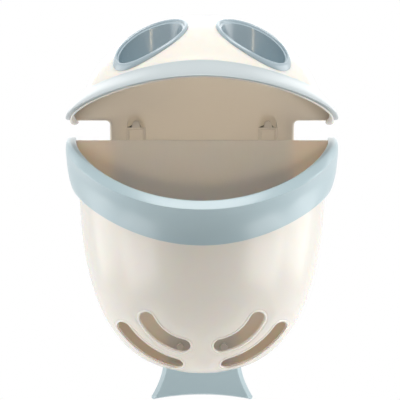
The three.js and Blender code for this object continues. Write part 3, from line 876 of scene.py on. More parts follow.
class Window(NamedTuple):
    """Opening for a hook: its middle, half width, lower and upper ends, and the depth of its rear."""

    x: float
    half: float
    low: float
    top: float
    rear: float


def plate_windows(plate, basket):
    """The two openings for the hooks."""
    half = plate.window_half_width
    low = plate.window_sill - basket.hook_drop - plate.hook_room
    top = plate.window_sill + plate.window_height
    rear = plate.standoff - SEAM - basket.hook_thickness - plate.hook_room
    return [Window(side * basket.hanger_offset, half, low, top, rear) for side in SIDES.values()]


def plate_bosses(head, plate, windows):
    """Rear rib, bearing pad, pockets and window covers of the plate."""
    low = plate.bottom + plate.skirt / 2
    high = head.base + head.height - plate.skirt / 2
    tall = plate.pad_half_height
    outline = cross(0, plate.rib / 2, low, high, plate.pad_half_width, -tall, tall)
    middle = plate.standoff + (PLATE_FRONT - plate.standoff) / 2
    solids = [prism("rib_and_pad", outline, 0, middle)]
    rear = plate.standoff - plate.pocket_setback
    radius = plate.pocket_radius + plate.pocket_wall
    solids += [rod("pocket", node, radius, rear, middle, ROUND_STEPS // 2) for node in SUCTION_CUPS]
    wall = plate.window_cover
    for window in windows:
        outside = window.half + wall
        cover = rectangle(window.x - outside, window.x + outside, window.low, window.top + wall)
        solids.append(prism("window_cover", cover, window.rear - wall, middle))
    return solids


def plate_holes(plate, windows):
    """Windows, stud holes and screw holes of the plate."""
    near, past = -plate.skirt, PLATE_FRONT + plate.skirt
    pocket_front = plate.standoff - plate.pocket_setback + plate.pocket_floor
    cutters = []
    for window in windows:
        left, right = window.x - window.half, window.x + window.half
        arch = arc(window.x, window.top - window.half, window.half, 0, math.pi, 2 * ARC_STEPS)
        outline = [(left, plate.window_sill), (right, plate.window_sill), *arch]
        cutters.append(prism("window", outline, window.rear, past))
        room = rectangle(left, right, window.low - plate.skirt, window.top)
        cutters.append(prism("hook_room", room, window.rear, plate.standoff))
    profile = [
        (0, near), (plate.stud_hole, near), (plate.stud_hole, pocket_front),
        (plate.pocket_radius, pocket_front), (plate.pocket_radius, past), (0, past),
    ]
    for node in SUCTION_CUPS:
        cutters.append(turned("stud_hole", profile, *node_centre(node), ROUND_STEPS // 2))
    for node in HEAD_SCREWS:
        cutters.append(rod("screw_hole", node, plate.screw_hole, near, past, ROUND_STEPS // 4))
    return cutters


# Fasteners


def suction_cup(node, plate, fasteners):
    """Soft cup pressed flat on the tiles, with a stud that buttons into the plate's pocket."""
    low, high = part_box(node)
    radius = (high.z - low.z) / 2
    shoulder = plate.standoff - plate.pocket_setback - SEAM
    head_start = shoulder + plate.pocket_floor + 2 * SEAM
    head_end = head_start + fasteners.stud_height
    ring_inside = radius - fasteners.cup_ring
    edge = fasteners.cup_edge / 2
    shares = spaced(0, 1, ARC_STEPS)
    profile = [(ring_inside * share, fasteners.cup_hollow * (1 - share ** 2)) for share in shares]
    for turn in spaced(-math.pi / 2, math.pi / 2, HEM_STEPS):
        profile.append((radius - edge + edge * math.cos(turn), edge + edge * math.sin(turn)))
    for share in shares[1:]:
        across = radius - edge - (radius - edge - fasteners.stud_head) * share
        rise = math.sin(math.pi / 2 * share) ** 2
        profile.append((across, 2 * edge + (shoulder - 2 * edge) * rise))
    profile += [(fasteners.stud_radius, shoulder), (fasteners.stud_radius, head_start)]
    profile.append((fasteners.stud_head, head_start))
    corner = fasteners.stud_height / 3
    for turn in quarter_turn(HEM_STEPS):
        across = fasteners.stud_head - corner * (1 - math.cos(turn))
        profile.append((across, head_end - corner * (1 - math.sin(turn))))
    profile.append((0, head_end))
    return turned(f"{node}_moulding", profile, *node_centre(node), ROUND_STEPS)


def screw(node, fasteners):
    """Pan-headed screw whose head faces the tiles, with a cross recess and a plain pointed shank."""
    x, z = node_centre(node)
    low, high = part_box(node)
    radius = (high.z - low.z) / 2
    rear, end = -high.y, -low.y
    seat = rear + fasteners.screw_head
    flat, shank = fasteners.screw_flat, fasteners.screw_shank
    profile = [(0, rear)]
    for turn in quarter_turn(ARC_STEPS):
        across = radius * (flat + (1 - flat) * math.sin(turn))
        profile.append((across, rear + fasteners.screw_head / 2 * (1 - math.cos(turn))))
    profile += [(radius, seat), (shank, seat), (shank, end - shank), (0, end)]
    body = turned(f"{node}_turned", profile, x, z, ROUND_STEPS // 2)
    long, wide = fasteners.cross_length / 2, fasteners.cross_width / 2
    recess = cross(x, wide, z - long, z + long, long, z - wide, z + wide)
    depth = fasteners.cross_depth
    combine(body, [prism("recess", recess, rear - depth, rear + depth)], "DIFFERENCE")
    return body


# Basket


def rim_height(basket, angle):
    return basket.rim - basket.rim_drop * max(math.sin(angle), 0) ** basket.rim_power


def lip_low_height(basket, angle):
    return basket.lip_low - basket.lip_drop * max(math.sin(angle), 0) ** basket.lip_power


def body_scale(basket, height):
    """Share of the basket's full width that is left at a height."""
    drop = clamp((basket.shoulder - height) / (basket.shoulder - basket.bottom))
    return (1 - drop ** basket.roundness) ** (1 / basket.roundness)


def body_flare(basket, angle, height):
    """How far the basket turns out behind its lip."""
    low = lip_low_height(basket, angle)
    share = clamp((height - low) / (rim_height(basket, angle) - low))
    return basket.flare * share ** basket.flare_power


def body_point(basket, angle, height, out):
    scale = body_scale(basket, height)
    return plan_point(angle, basket.half_width * scale + out, basket.depth * scale + out, height)


def body_normal(basket, point):
    """Direction square to the basket's skin."""
    power = basket.roundness
    tall = basket.shoulder - basket.bottom
    depth = -point.y - SHELL_REAR
    plan = (point.x / basket.half_width) ** 2 + (depth / basket.depth) ** 2
    slope = plan ** (power / 2 - 1)
    drop = clamp((basket.shoulder - point.z) / tall)
    return Vector((
        slope * point.x / basket.half_width ** 2,
        -slope * depth / basket.depth ** 2,
        -drop ** (power - 1) / tall,
    )).normalized()


def slot_centre(slot, basket):
    """Centre of the left slot's arc."""
    return -slot.offset, basket.bottom + slot.rise


def slot_ring(slot, side, basket, spread):
    """Outline of a slot in the front view, widened all round."""
    x, z = slot_centre(slot, basket)
    half = slot.width / 2 + spread
    first, last = arc(x, z, slot.radius, slot.start, slot.end, 1)
    points = arc(x, z, slot.radius + half, slot.start, slot.end, SLOT_ARC_STEPS)
    points += arc(*last, half, slot.end, slot.end + math.pi, SLOT_CAP_STEPS)[1:-1]
    points += arc(x, z, slot.radius - half, slot.end, slot.start, SLOT_ARC_STEPS)
    points += arc(*first, half, slot.start + math.pi, slot.start + math.tau, SLOT_CAP_STEPS)[1:-1]
    return [(-side * px, pz) for px, pz in points]


def slot_distance(slot, side, basket, x, z):
    """Distance of a place in the front view from a slot's edge, below zero inside it."""
    centre_x, centre_z = slot_centre(slot, basket)
    across, up = -side * x - centre_x, z - centre_z
    turn = math.atan2(up, across) % math.tau
    if slot.start <= turn <= slot.end:
        return abs(math.hypot(across, up) - slot.radius) - slot.width / 2
    ends = arc(0, 0, slot.radius, slot.start, slot.end, 1)
    return min(math.hypot(across - end_x, up - end_z) for end_x, end_z in ends) - slot.width / 2


def encloses(ring, place):
    """Whether a flat ring goes round a place."""
    inside = False
    for here, following in zip(ring, [*ring[1:], ring[0]]):
        if (here.y > place.y) != (following.y > place.y):
            share = (place.y - here.y) / (following.y - here.y)
            inside ^= place.x < here.x + (following.x - here.x) * share
    return inside


def front_of_body(basket, x, z):
    """Point of the basket's skin at a place in the front view."""
    scale = body_scale(basket, z)
    angle = math.acos(clamp(-x / (basket.half_width * scale), -1, 1))
    return body_point(basket, angle, z, 0)


class BasketSkin:
    """One face of the basket: rows and columns, with a patch of triangles that leaves the slots open."""

    patch_angles = (math.radians(20), math.radians(160))
    patch_rises = (5 * MM, 106 * MM)

    def __init__(self, basket, inside):
        self.basket = basket
        self.inside = inside
        self.points = []
        self.faces = []
        self.angles = spaced(0, math.pi, SWEEP_STEPS)
        self.rows = [self.row_heights(angle) for angle in self.angles]

    def row_heights(self, angle):
        """Heights of one column's points, from the basket's lowest point up to its rim."""
        basket = self.basket
        join = lip_low_height(basket, math.pi / 2)
        tall = basket.shoulder - basket.bottom
        stop = math.asin(((basket.shoulder - join) / tall) ** (basket.roundness / 2))
        heights = []
        for turn in spaced(math.pi / 2, stop, BODY_STEPS)[:-1]:
            heights.append(basket.shoulder - tall * math.sin(turn) ** (2 / basket.roundness))
        top = rim_height(basket, angle) - basket.lip_cap - basket.lip_gap
        return heights + spaced(join, top, RIM_STEPS)

    def place(self, point, out):
        """Point moved along the skin's normal."""
        return point + body_normal(self.basket, point) * out

    def face_out(self):
        """How far this face lies from the outer skin."""
        return -self.basket.wall if self.inside else 0

    def dish(self, x, z):
        """Depth of the soft dish at a place in the front view."""
        basket = self.basket
        distance = self.nearest_slot(x, z)
        return basket.slot_dish * (1 - smoothstep(distance, basket.slot_border, basket.slot_dish_reach))

    def border_out(self, spread):
        """How far both faces stand out near a slot: a groove, a raised rim, and a round edge."""
        basket = self.basket
        half_wall = basket.wall / 2
        sink = smoothstep(-spread, -basket.slot_border, -basket.slot_groove_place)
        lift = smoothstep(-spread, -basket.slot_groove_place, -half_wall)
        middle = (basket.slot_groove + basket.slot_rim) * lift - basket.slot_groove * sink
        middle -= basket.slot_dish + half_wall
        short = max(half_wall - spread, 0)
        half = math.sqrt(half_wall ** 2 - short ** 2)
        return middle + half, middle - half

    def foot(self, x, z, out):
        """Point of the skin that lands on a place in the front view once it is moved."""
        skin_x, skin_z = x, z
        for _ in range(FOOT_STEPS):
            normal = body_normal(self.basket, front_of_body(self.basket, skin_x, skin_z))
            skin_x, skin_z = x - normal.x * out, z - normal.z * out
        return front_of_body(self.basket, skin_x, skin_z)

    def add(self, point):
        """Keeps a point and returns its number."""
        self.points.append(point)
        return len(self.points) - 1

    def make(self):
        """Lays out the rows, columns and patch, and returns the points' numbers by column and row."""
        basket = self.basket
        grid = {}
        for column, angle in enumerate(self.angles):
            for row, height in enumerate(self.rows[column]):
                skin = body_point(basket, angle, height, body_flare(basket, angle, height))
                grid[column, row] = self.add(self.place(skin, self.face_out() - self.dish(skin.x, skin.z)))
        low, high = self.patch_angles
        columns = [index for index, angle in enumerate(self.angles) if low <= angle <= high]
        floor, ceiling = (basket.bottom + rise for rise in self.patch_rises)
        rows = [index for index, height in enumerate(self.rows[0]) if floor <= height <= ceiling]
        for column in range(len(self.angles) - 1):
            for row in range(len(self.rows[0]) - 1):
                if columns[0] <= column < columns[-1] and rows[0] <= row < rows[-1]:
                    continue
                corners = ((column, row), (column + 1, row), (column + 1, row + 1), (column, row + 1))
                self.faces.append(tuple(grid[corner] for corner in corners))
        self.patch(grid, columns, rows)
        return grid

    def patch(self, grid, columns, rows):
        """Triangles between the rows and columns and the slots' borders."""
        basket = self.basket
        flat, index = [], []
        around = [(column, rows[0]) for column in columns]
        around += [(columns[-1], row) for row in rows[1:]]
        around += [(column, rows[-1]) for column in reversed(columns[:-1])]
        around += [(columns[0], row) for row in reversed(rows[1:-1])]
        edges = []

        def place_flat(skin, point):
            flat.append(Vector((skin.x / MM, skin.z / MM)))
            index.append(point)

        def on_skin(column, row):
            return body_point(basket, self.angles[column], self.rows[column][row], 0)

        def close(first):
            count = len(flat) - first
            edges.extend((first + step, first + (step + 1) % count) for step in range(count))

        for key in around:
            place_flat(on_skin(*key), grid[key])
        close(0)
        rings = []
        for slot in SLOTS:
            for side in SIDES.values():
                first = len(flat)
                for skin, point in self.slot_border(slot, side):
                    place_flat(skin, point)
                close(first)
                rings.append(flat[first:])
        clear = basket.slot_border + basket.slot_groove + basket.slot_dish
        for column in columns[1:-1]:
            for row in rows[1:-1]:
                skin = on_skin(column, row)
                if self.nearest_slot(skin.x, skin.z) > clear:
                    place_flat(skin, grid[column, row])
        places, _, triangles, sources, _, _ = delaunay_2d_cdt(
            flat, edges, [], INSIDE_TRIANGLES, TRIANGLE_TOLERANCE)
        for corners in triangles:
            middle = sum((places[corner] for corner in corners), Vector((0, 0))) / len(corners)
            if not any(encloses(ring, middle) for ring in rings):
                self.faces.append(tuple(index[sources[corner][0]] for corner in corners))

    def nearest_slot(self, x, z):
        """Distance of a place in the front view from the nearest slot's edge."""
        sides = SIDES.values()
        return min(slot_distance(slot, side, self.basket, x, z) for slot in SLOTS for side in sides)

    def slot_border(self, slot, side):
        """Grooved border of one slot, from its outer edge in; returns the outer ring's feet and points."""
        basket = self.basket
        half_wall = basket.wall / 2
        spreads = spaced(basket.slot_border, half_wall, ARC_STEPS)[:-1]
        spreads += [half_wall * (1 - math.sin(turn)) for turn in quarter_turn(HEM_STEPS)]
        feet, loops = [], []
        for spread in spreads:
            outer_out, inner_out = self.border_out(spread)
            feet.append([self.foot(x, z, outer_out) for x, z in slot_ring(slot, side, basket, spread)])
            out = inner_out if self.inside else outer_out
            loops.append([self.add(self.place(foot, out)) for foot in feet[-1]])
        for outer, inner in zip(loops, loops[1:]):
            self.faces += quads(outer, inner)
        return list(zip(feet[0], loops[0]))


def basket_shell(basket, fasteners):
    """Basket with a flat rear wall, four slots and two screw bosses."""
    outer = BasketSkin(basket, inside=False)
    inner = BasketSkin(basket, inside=True)
    outer_grid, inner_grid = outer.make(), inner.make()
    shift = len(outer.points)
    points = outer.points + inner.points
    faces = outer.faces + [tuple(shift + corner for corner in face) for face in inner.faces]
    last_row = len(outer.rows[0]) - 1
    rim = [(column, last_row) for column in range(SWEEP_STEPS + 1)]
    ends = [[(column, row) for row in range(last_row + 1)] for column in (0, SWEEP_STEPS)]
    for border in (rim, *ends):
        near, far = [outer_grid[key] for key in border], [shift + inner_grid[key] for key in border]
        faces += quads(near, far, closed=False)
    shell = build("basket_shell_skin", points, faces)
    side = []
    for height in outer.rows[0][REAR_WALL_FIRST_ROW:]:
        half = basket.half_width * body_scale(basket, height) + body_flare(basket, 0, height)
        side.append((half - basket.wall / 2, height))
    outline = [*side, *((-x, z) for x, z in reversed(side))]
    solids = [prism("rear_wall", outline, SHELL_REAR, SHELL_REAR + basket.wall)]
    start, end = SHELL_REAR + basket.wall / 2, SHELL_REAR + fasteners.tail_boss_length
    solids += [boss("tail_boss", node, start, end, fasteners) for node in TAIL_SCREWS]
    combine(shell, solids, "UNION")
    return shell


def hanger(name, x, basket, plate):
    """Two legs, a bar and a tongue, with a hook behind that drops over the window's sill."""
    half, leg = basket.hanger_half_width, basket.hanger_leg
    low = plate.window_sill + SEAM
    top = low + basket.hanger_bar
    root = basket.rim - basket.lip_cap - SEAM - basket.wall
    tongue_middle = low + basket.tongue_height - basket.tongue_radius
    tongue = arc(x, tongue_middle, basket.tongue_radius, 0, math.pi, 2 * ARC_STEPS)
    outline = [
        (x + half - leg, root), (x + half, root), (x + half, top),
        (x + basket.tongue_half_width, top), *tongue, (x - basket.tongue_half_width, top),
        (x - half, top), (x - half, root), (x - half + leg, root),
        (x - half + leg, low), (x + half - leg, low),
    ]
    rear = SHELL_REAR + basket.hanger_inset
    front = SHELL_REAR + basket.wall - basket.hanger_inset
    piece = prism(name, outline, rear, front)
    hook_front = plate.standoff - SEAM
    hook_rear = hook_front - basket.hook_thickness
    hook_top = low + basket.hook_rise
    hook_low = plate.window_sill - basket.hook_drop
    middle = SHELL_REAR + basket.wall / 2
    side_view = [
        (hook_rear, hook_low), (hook_front, hook_low), (hook_front, low), (middle, low),
        (middle, hook_top), (hook_rear, hook_top),
    ]
    ends = [x + side * basket.hook_half_width for side in SIDES.values()]
    loops = [[front_point(end, z, depth) for depth, z in side_view] for end in ends]
    combine(piece, [build("hook", *capped(loops))], "UNION")
    edge_round = basket.wall / 6
    bevel(piece, edge_round, segments=2)
    return piece


def lip_out(basket, angle, share, tall):
    """How far the lip stands out at a share of its height.

    It is round at the sides. In front it is a nose over a sloping face.
    """
    from_middle = 2 * share - 1
    power = basket.lip_shoulder if from_middle > 0 else basket.lip_belly
    full = basket.lip_bulge * max(1 - abs(from_middle) ** power, 0) ** (1 / power)
    face_share = clamp(share / (1 - basket.lip_nose / tall))
    nose_turn = clamp(1 - (1 - share) * tall / basket.lip_nose)
    nose = basket.lip_nose_depth * (1 - (1 - nose_turn ** basket.lip_fullness) ** (1 / basket.lip_fullness))
    face = basket.lip_reach * face_share ** basket.lip_slope - nose
    front = smoothstep(math.sin(angle), basket.lip_front_start, basket.lip_front_full)
    return basket.lip_gap + basket.lip_edge + full + (face - full) * front


def lip_section(basket, angle):
    """Blue-grey rim of the basket: its outer face, a rounded cap and its seat on the shell."""
    low = lip_low_height(basket, angle)
    top = rim_height(basket, angle)
    outer = []
    for turn in spaced(0, math.pi, LIP_STEPS):
        share = (1 - math.cos(turn)) / 2
        height = low + (top - low) * share
        out = body_flare(basket, angle, height) + lip_out(basket, angle, share, top - low)
        outer.append(body_point(basket, angle, height, out))
    ledge = top - basket.lip_cap
    cap_inside = body_flare(basket, angle, top) - basket.wall
    cap = []
    for turn in quarter_turn(HEM_STEPS):
        out = cap_inside + basket.lip_edge * (1 - math.sin(turn))
        cap.append(body_point(basket, angle, top - basket.lip_edge * (1 - math.cos(turn)), out))
    cap.append(body_point(basket, angle, ledge, cap_inside))
    seat = []
    for height in spaced(ledge, low, len(outer) + len(cap) - 1):
        seat.append(body_point(basket, angle, height, body_flare(basket, angle, height) + basket.lip_gap))
    return [*outer, *cap, *seat]


# Tail


def tail_outline(tail, grow):
    """Front view of the tail, grown outwards by some amount."""
    top = TAIL_HIGH.z - tail.draft + grow
    waist = TAIL_HIGH.z - tail.draft - tail.shank
    tip_base = TAIL_LOW.z + tail.draft
    tip = tip_base - grow

    def side_at(height):
        share = clamp((waist - height) / (waist - tip_base))
        return Vector((tail.half_width + tail.spread * share ** tail.spread_power + grow, height))

    def sole_at(x):
        return Vector((x, tip + tail.arch * (1 - (x / corner.x) ** 2)))

    corner = side_at(tip)
    above, beside = side_at(tip + tail.corner), sole_at(corner.x - tail.corner)
    side = [Vector((tail.half_width + grow, top))]
    side += [side_at(height) for height in spaced(waist, above.y, DOME_STEPS)[:-1]]
    for share in spaced(0, 1, ARC_STEPS):
        side.append(above.lerp(corner, share).lerp(corner.lerp(beside, share), share))
    sole = [sole_at(x) for x in spaced(beside.x, -beside.x, DOME_STEPS)[1:-1]]
    return [*side, *sole, *(Vector((-x, z)) for x, z in reversed(side))]


def tail_fin(tail, plate, fasteners):
    """Hollow-backed fin with drafted sides and a rounded front edge."""
    rear = -TAIL_HIGH.y
    sheet_rear = PLATE_FRONT - tail.wall

    def ring(grow, depth):
        return [front_point(x, z, depth) for x, z in tail_outline(tail, grow)]

    def draft(depth):
        return tail.draft * (PLATE_FRONT - depth) / (PLATE_FRONT - rear)

    loops = [ring(draft(sheet_rear) - tail.wall, sheet_rear), ring(tail.draft - tail.wall, rear)]
    loops.append(ring(tail.draft, rear))
    for turn in quarter_turn(HEM_STEPS):
        depth = PLATE_FRONT - tail.round * (1 - math.sin(turn))
        loops.append(ring(draft(depth) - tail.round * (1 - math.cos(turn)), depth))
    fin = build("tail_fin_moulding", *capped(loops))
    past = PLATE_FRONT + tail.wall
    holes = [rod("screw_hole", node, plate.screw_hole, rear, past, ROUND_STEPS // 4) for node in TAIL_SCREWS]
    combine(fin, holes, "DIFFERENCE")
    return fin


# Finishes


class Wire:
    """A value in a material; Python's operators on it add Math nodes."""

    def __init__(self, finish, socket):
        self.finish = finish
        self.socket = socket

    def maths(self, operation, first, second):
        return self.finish.add("ShaderNodeMath", {0: first, 1: second}, operation=operation)

    def __add__(self, other):
        return self.maths("ADD", self, other)

    def __radd__(self, other):
        return self.maths("ADD", other, self)

    def __sub__(self, other):
        return self.maths("SUBTRACT", self, other)

    def __rsub__(self, other):
        return self.maths("SUBTRACT", other, self)

    def __mul__(self, other):
        return self.maths("MULTIPLY", self, other)

    def __rmul__(self, other):
        return self.maths("MULTIPLY", other, self)


class Finish:
    """Node tree of a material or of the world."""

    def __init__(self, owner):
        self.owner = owner
        owner.use_nodes = True
        self.tree = owner.node_tree
        self.tree.nodes.clear()

    def add(self, kind, values=None, output=0, **settings):
        """A node of any type: its settings, and the values or links of its sockets."""
        node = self.tree.nodes.new(kind)
        for name, value in settings.items():
            setattr(node, name, value)
        for socket, value in (values or {}).items():
            if isinstance(value, Wire):
                self.tree.links.new(value.socket, node.inputs[socket])
            else:
                node.inputs[socket].default_value = value
        return Wire(self, node.outputs[output]) if node.outputs else None

    def blend(self, share, first, second):
        """A colour between two colours."""
        values = {MIX_SHARE: share, MIX_FIRST: (*first, 1), MIX_SECOND: (*second, 1)}
        return self.add("ShaderNodeMix", values, MIX_RESULT, data_type="RGBA")

    def noise(self, grain):
        """Noise that stays with its piece."""
        place = self.add("ShaderNodeTexCoord", output="Object")
        values = {"Vector": place, "Scale": grain.scale, "Detail": grain.detail}
        return self.add("ShaderNodeTexNoise", values)

    def bump(self, height, strength, distance):
        return self.add("ShaderNodeBump", {"Strength": strength, "Distance": distance, "Height": height})

    def principled(self, values):
        return self.add("ShaderNodeBsdfPrincipled", values)

    def surface(self, shader):
        self.add("ShaderNodeOutputMaterial", {"Surface": shader})
        return self.owner


def moulded_plastic(finish, finishes, plastic):
    """Injection-moulded plastic: faint flow marks in its colour, uneven gloss and a slightly wavy skin."""
    main, shade = getattr(finishes, plastic.colour), getattr(finishes, plastic.shade)
    return finish.principled({
        "Base Color": finish.blend(finish.noise(FLOW_MARKS), main, shade),
        "Roughness": plastic.roughness + GLOSS_CHANGE * (finish.noise(DUST) - MEAN_NOISE),
        "IOR": PLASTIC_IOR,
        "Subsurface Weight": plastic.glow,
        "Subsurface Radius": GLOW_COLOUR,
        "Subsurface Scale": GLOW_REACH,
        "Coat Weight": plastic.coat,
        "Coat Roughness": COAT_ROUGHNESS,
        "Normal": finish.bump(finish.noise(PEEL), plastic.skin, PEEL_HEIGHT),
    })


def clear_soft_plastic(finish, finishes):
    """Soft clear plastic with a faint haze."""
    return finish.principled({
        "Base Color": (*finishes.clear, 1),
        "Roughness": SOFT_ROUGHNESS + SOFT_HAZE * finish.noise(HAZE),
        "Transmission Weight": SOFT_CLEARNESS,
        "IOR": SOFT_IOR,
    })


def bright_zinc(finish, finishes):
    """Zinc-plated steel with fine turning marks."""
    grain = finish.noise(TURNING_MARKS)
    return finish.principled({
        "Base Color": (*finishes.steel, 1),
        "Metallic": 1,
        "Roughness": ZINC_ROUGHNESS + ZINC_CHANGE * grain,
        "Normal": finish.bump(grain, ZINC_SKIN, TURNING_HEIGHT),
    })


def finish_of(kind):
    """Material of one kind, made once."""
    name = f"{kind}_finish"
    if name in bpy.data.materials:
        return bpy.data.materials[name]
    finishes = bpy.context.scene.organizer_finishes
    finish = Finish(bpy.data.materials.new(name))
    if kind in PLASTICS:
        return finish.surface(moulded_plastic(finish, finishes, PLASTICS[kind]))
    makers = {"clear_soft_plastic": clear_soft_plastic, "screw_steel": bright_zinc}
    return finish.surface(makers[kind](finish, finishes))


# Operators


class ORGANIZER_OT_head(bpy.types.Operator):
    """Build the white head shell with its screw bosses"""

    bl_idname = "organizer.head"
    bl_label = "Head shell"

    def execute(self, context):
        scene = context.scene
        shell = head_shell(scene.organizer_head, scene.organizer_cups)
        dress(shell, "wall_unit", "white_plastic", "head_shell")
        fasteners = scene.organizer_fasteners
        end = SHELL_REAR + fasteners.boss_length
        for node in HEAD_SCREWS:
            solid = boss(f"{node}_boss", node, SHELL_REAR, end, fasteners)
            dress(solid, "wall_unit", "white_plastic", "head_shell")
        return {"FINISHED"}


class ORGANIZER_OT_upper_lip(bpy.types.Operator):
    """Build the blue-grey band round the mouth's upper edge"""

    bl_idname = "organizer.upper_lip"
    bl_label = "Upper lip"

    def execute(self, context):
        head = context.scene.organizer_head
        band = swept("upper_lip_band", lambda angle: band_section(head, angle), closed=True)
        # Painted reflection: the band takes a paler, more neutral copy of the blue-grey.
        dress(band, "wall_unit", "blue_grey_plastic", "upper_lip", "band_painted_reflection_plastic")
        return {"FINISHED"}


class ORGANIZER_OT_eye_cups(bpy.types.Operator):
    """Build the two lift-out eye cups"""

    bl_idname = "organizer.eye_cups"
    bl_label = "Eye cups"

    def execute(self, context):
        scene = context.scene
        for name, side in SIDES.items():
            cup = eye_cup(f"eye_cup_{name}_moulding", side, scene.organizer_head, scene.organizer_cups)
            # Painted shade: the cups take a deeper copy of the blue-grey.
            dress(cup, f"{name}_eye_cup", "blue_grey_plastic", f"eye_cup_{name}", "cup_painted_shade_plastic")
        return {"FINISHED"}


class ORGANIZER_OT_wall_plate(bpy.types.Operator):
    """Build the white wall plate"""

    bl_idname = "organizer.wall_plate"
    bl_label = "Wall plate"

    def execute(self, context):
        scene = context.scene
        plate = wall_plate(scene.organizer_head, scene.organizer_plate, scene.organizer_basket)
        # Painted warm shade: the plate takes the yellower copy of the white.
        dress(plate, "wall_unit", "white_plastic", "wall_plate", "plate_painted_warm_shade_plastic")
        return {"FINISHED"}


class ORGANIZER_OT_suction_cups(bpy.types.Operator):
    """Build the four suction cups"""

    bl_idname = "organizer.suction_cups"
    bl_label = "Suction cups"

    def execute(self, context):
        scene = context.scene
        for node in SUCTION_CUPS:
            cup = suction_cup(node, scene.organizer_plate, scene.organizer_fasteners)
            dress(cup, "wall_unit", "clear_soft_plastic", node)
        return {"FINISHED"}


class ORGANIZER_OT_screws(bpy.types.Operator):
    """Build the screws of the head and the tail"""

    bl_idname = "organizer.screws"
    bl_label = "Screws"

    def execute(self, context):
        fasteners = context.scene.organizer_fasteners
        for body, nodes in (("wall_unit", HEAD_SCREWS), ("basket", TAIL_SCREWS)):
            for node in nodes:
                dress(screw(node, fasteners), body, "screw_steel", node)
        return {"FINISHED"}


class ORGANIZER_OT_basket(bpy.types.Operator):
    """Build the white basket with its slots, its screw bosses and its two hangers"""

    bl_idname = "organizer.basket"
    bl_label = "Basket"

    def execute(self, context):
        scene = context.scene
        basket = scene.organizer_basket
        shell = basket_shell(basket, scene.organizer_fasteners)
        dress(shell, "basket", "white_plastic", "basket_shell")
        for name, side in SIDES.items():
            piece = hanger(f"hanger_{name}", side * basket.hanger_offset, basket, scene.organizer_plate)
            # Painted warm shade: the hangers take the plate's yellower copy of the white.
            dress(piece, "basket", "white_plastic", "basket_shell", "plate_painted_warm_shade_plastic")
        return {"FINISHED"}


class ORGANIZER_OT_lower_lip(bpy.types.Operator):
    """Build the blue-grey lip of the basket"""

    bl_idname = "organizer.lower_lip"
    bl_label = "Lower lip"

    def execute(self, context):
        basket = context.scene.organizer_basket
        lip = swept("lower_lip_band", lambda angle: lip_section(basket, angle), closed=True)
        dress(lip, "basket", "blue_grey_plastic", "lower_lip")
        return {"FINISHED"}


class ORGANIZER_OT_tail(bpy.types.Operator):
    """Build the blue-grey tail fin"""

    bl_idname = "organizer.tail"
    bl_label = "Tail fin"

    def execute(self, context):
        scene = context.scene
        fin = tail_fin(scene.organizer_tail, scene.organizer_plate, scene.organizer_fasteners)
        dress(fin, "basket", "blue_grey_plastic", "tail_fin")
        return {"FINISHED"}


def look_at(piece, target):
    piece.rotation_euler = (target - piece.location).to_track_quat("-Z", "Y").to_euler()


def add_lamp(lamp, level):
    """A large soft lamp that faces the organizer."""
    light = bpy.data.lights.new(lamp.name, "AREA")
    light.shape = "RECTANGLE"
    light.size = lamp.width
    light.size_y = lamp.height
    light.energy = lamp.power * level
    light.spread = lamp.spread
    light.color = lamp.tint
    stand = new_piece(lamp.name, light)
    stand.location = lamp.place
    look_at(stand, lamp.aim)


def white_world(stage):
    """White for the camera and for reflections, and a softer level for the light from all round."""
    world = bpy.data.worlds.new("studio")
    bpy.context.scene.world = world
    finish = Finish(world)

    def background(strength):
        return finish.add("ShaderNodeBackground", {"Color": (1, 1, 1, 1), "Strength": strength})

    seen = finish.add("ShaderNodeLightPath", output="Is Camera Ray")
    for kind in ("Is Glossy Ray", "Is Transmission Ray"):
        seen = seen.maths("MAXIMUM", seen, finish.add("ShaderNodeLightPath", output=kind))
    mixed = finish.add("ShaderNodeMixShader", {0: seen, 1: background(stage.ambient), 2: background(1)})
    finish.add("ShaderNodeOutputWorld", {"Surface": mixed})


def pale_floor(stage):
    """Round pale floor well below the tail."""
    height = CAD_BOX[0][2] - stage.floor_drop
    points = [Vector((x, y, height)) for x, y in circle(0, 0, stage.floor_radius, ROUND_STEPS)]
    floor = build("floor", points, [tuple(range(ROUND_STEPS))])
    finish = Finish(bpy.data.materials.new("floor_paper"))
    shader = finish.add("ShaderNodeBsdfDiffuse", {"Color": (*stage.floor_grey, 1)})
    floor.data.materials.append(finish.surface(shader))


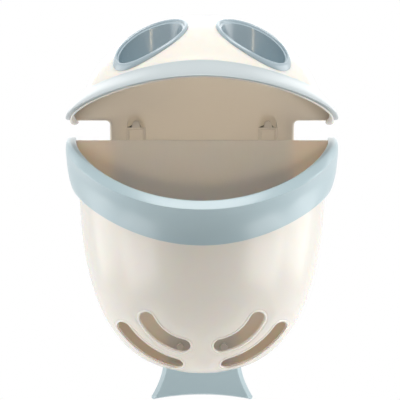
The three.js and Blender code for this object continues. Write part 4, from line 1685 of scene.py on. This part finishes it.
class ORGANIZER_OT_stage(bpy.types.Operator):
    """Build the floor, the lamps, the white surroundings and the camera"""

    bl_idname = "organizer.stage"
    bl_label = "Stage"

    def execute(self, context):
        scene = context.scene
        stage = scene.organizer_stage
        scene.view_settings.view_transform = "Standard"
        white_world(stage)
        pale_floor(stage)
        for lamp in LAMPS:
            add_lamp(lamp, stage.light_level)
        data = bpy.data.cameras.new("camera")
        data.lens = data.sensor_width * stage.focal_pixels / stage.picture_pixels
        data.shift_x = -stage.shift_pixels / stage.picture_pixels
        camera = new_piece("camera", data)
        aim = Vector((0, 0, stage.aim_height))
        turn = stage.camera_elevation
        camera.location = aim + stage.camera_distance * Vector((0, -math.cos(turn), math.sin(turn)))
        look_at(camera, aim)
        scene.camera = camera
        return {"FINISHED"}


OPERATORS = (
    ORGANIZER_OT_stage,
    ORGANIZER_OT_wall_plate,
    ORGANIZER_OT_head,
    ORGANIZER_OT_upper_lip,
    ORGANIZER_OT_eye_cups,
    ORGANIZER_OT_suction_cups,
    ORGANIZER_OT_screws,
    ORGANIZER_OT_basket,
    ORGANIZER_OT_lower_lip,
    ORGANIZER_OT_tail,
)


class ORGANIZER_PT_panel(bpy.types.Panel):
    """Buttons and sizes of the organizer"""

    bl_idname = "ORGANIZER_PT_panel"
    bl_label = "Bath toy organizer"
    bl_space_type = "VIEW_3D"
    bl_region_type = "UI"
    bl_category = "Organizer"

    def draw(self, context):
        for operator in OPERATORS:
            self.layout.operator(operator.bl_idname)
        for name, group in GROUPS.items():
            column = self.layout.column(heading=group.__doc__)
            for key in group.__annotations__:
                column.prop(getattr(context.scene, name), key)


CLASSES = (*GROUPS.values(), *OPERATORS, ORGANIZER_PT_panel)


def register():
    for kind in CLASSES:
        bpy.utils.register_class(kind)
    for name, group in GROUPS.items():
        setattr(bpy.types.Scene, name, bpy.props.PointerProperty(type=group))


def unregister():
    for name in GROUPS:
        delattr(bpy.types.Scene, name)
    for kind in reversed(CLASSES):
        bpy.utils.unregister_class(kind)


def main():
    register()
    for operator in OPERATORS:
        group, name = operator.bl_idname.split(".")
        getattr(getattr(bpy.ops, group), name)()
    bpy.context.view_layer.update()


if __name__ == "__main__":
    main()
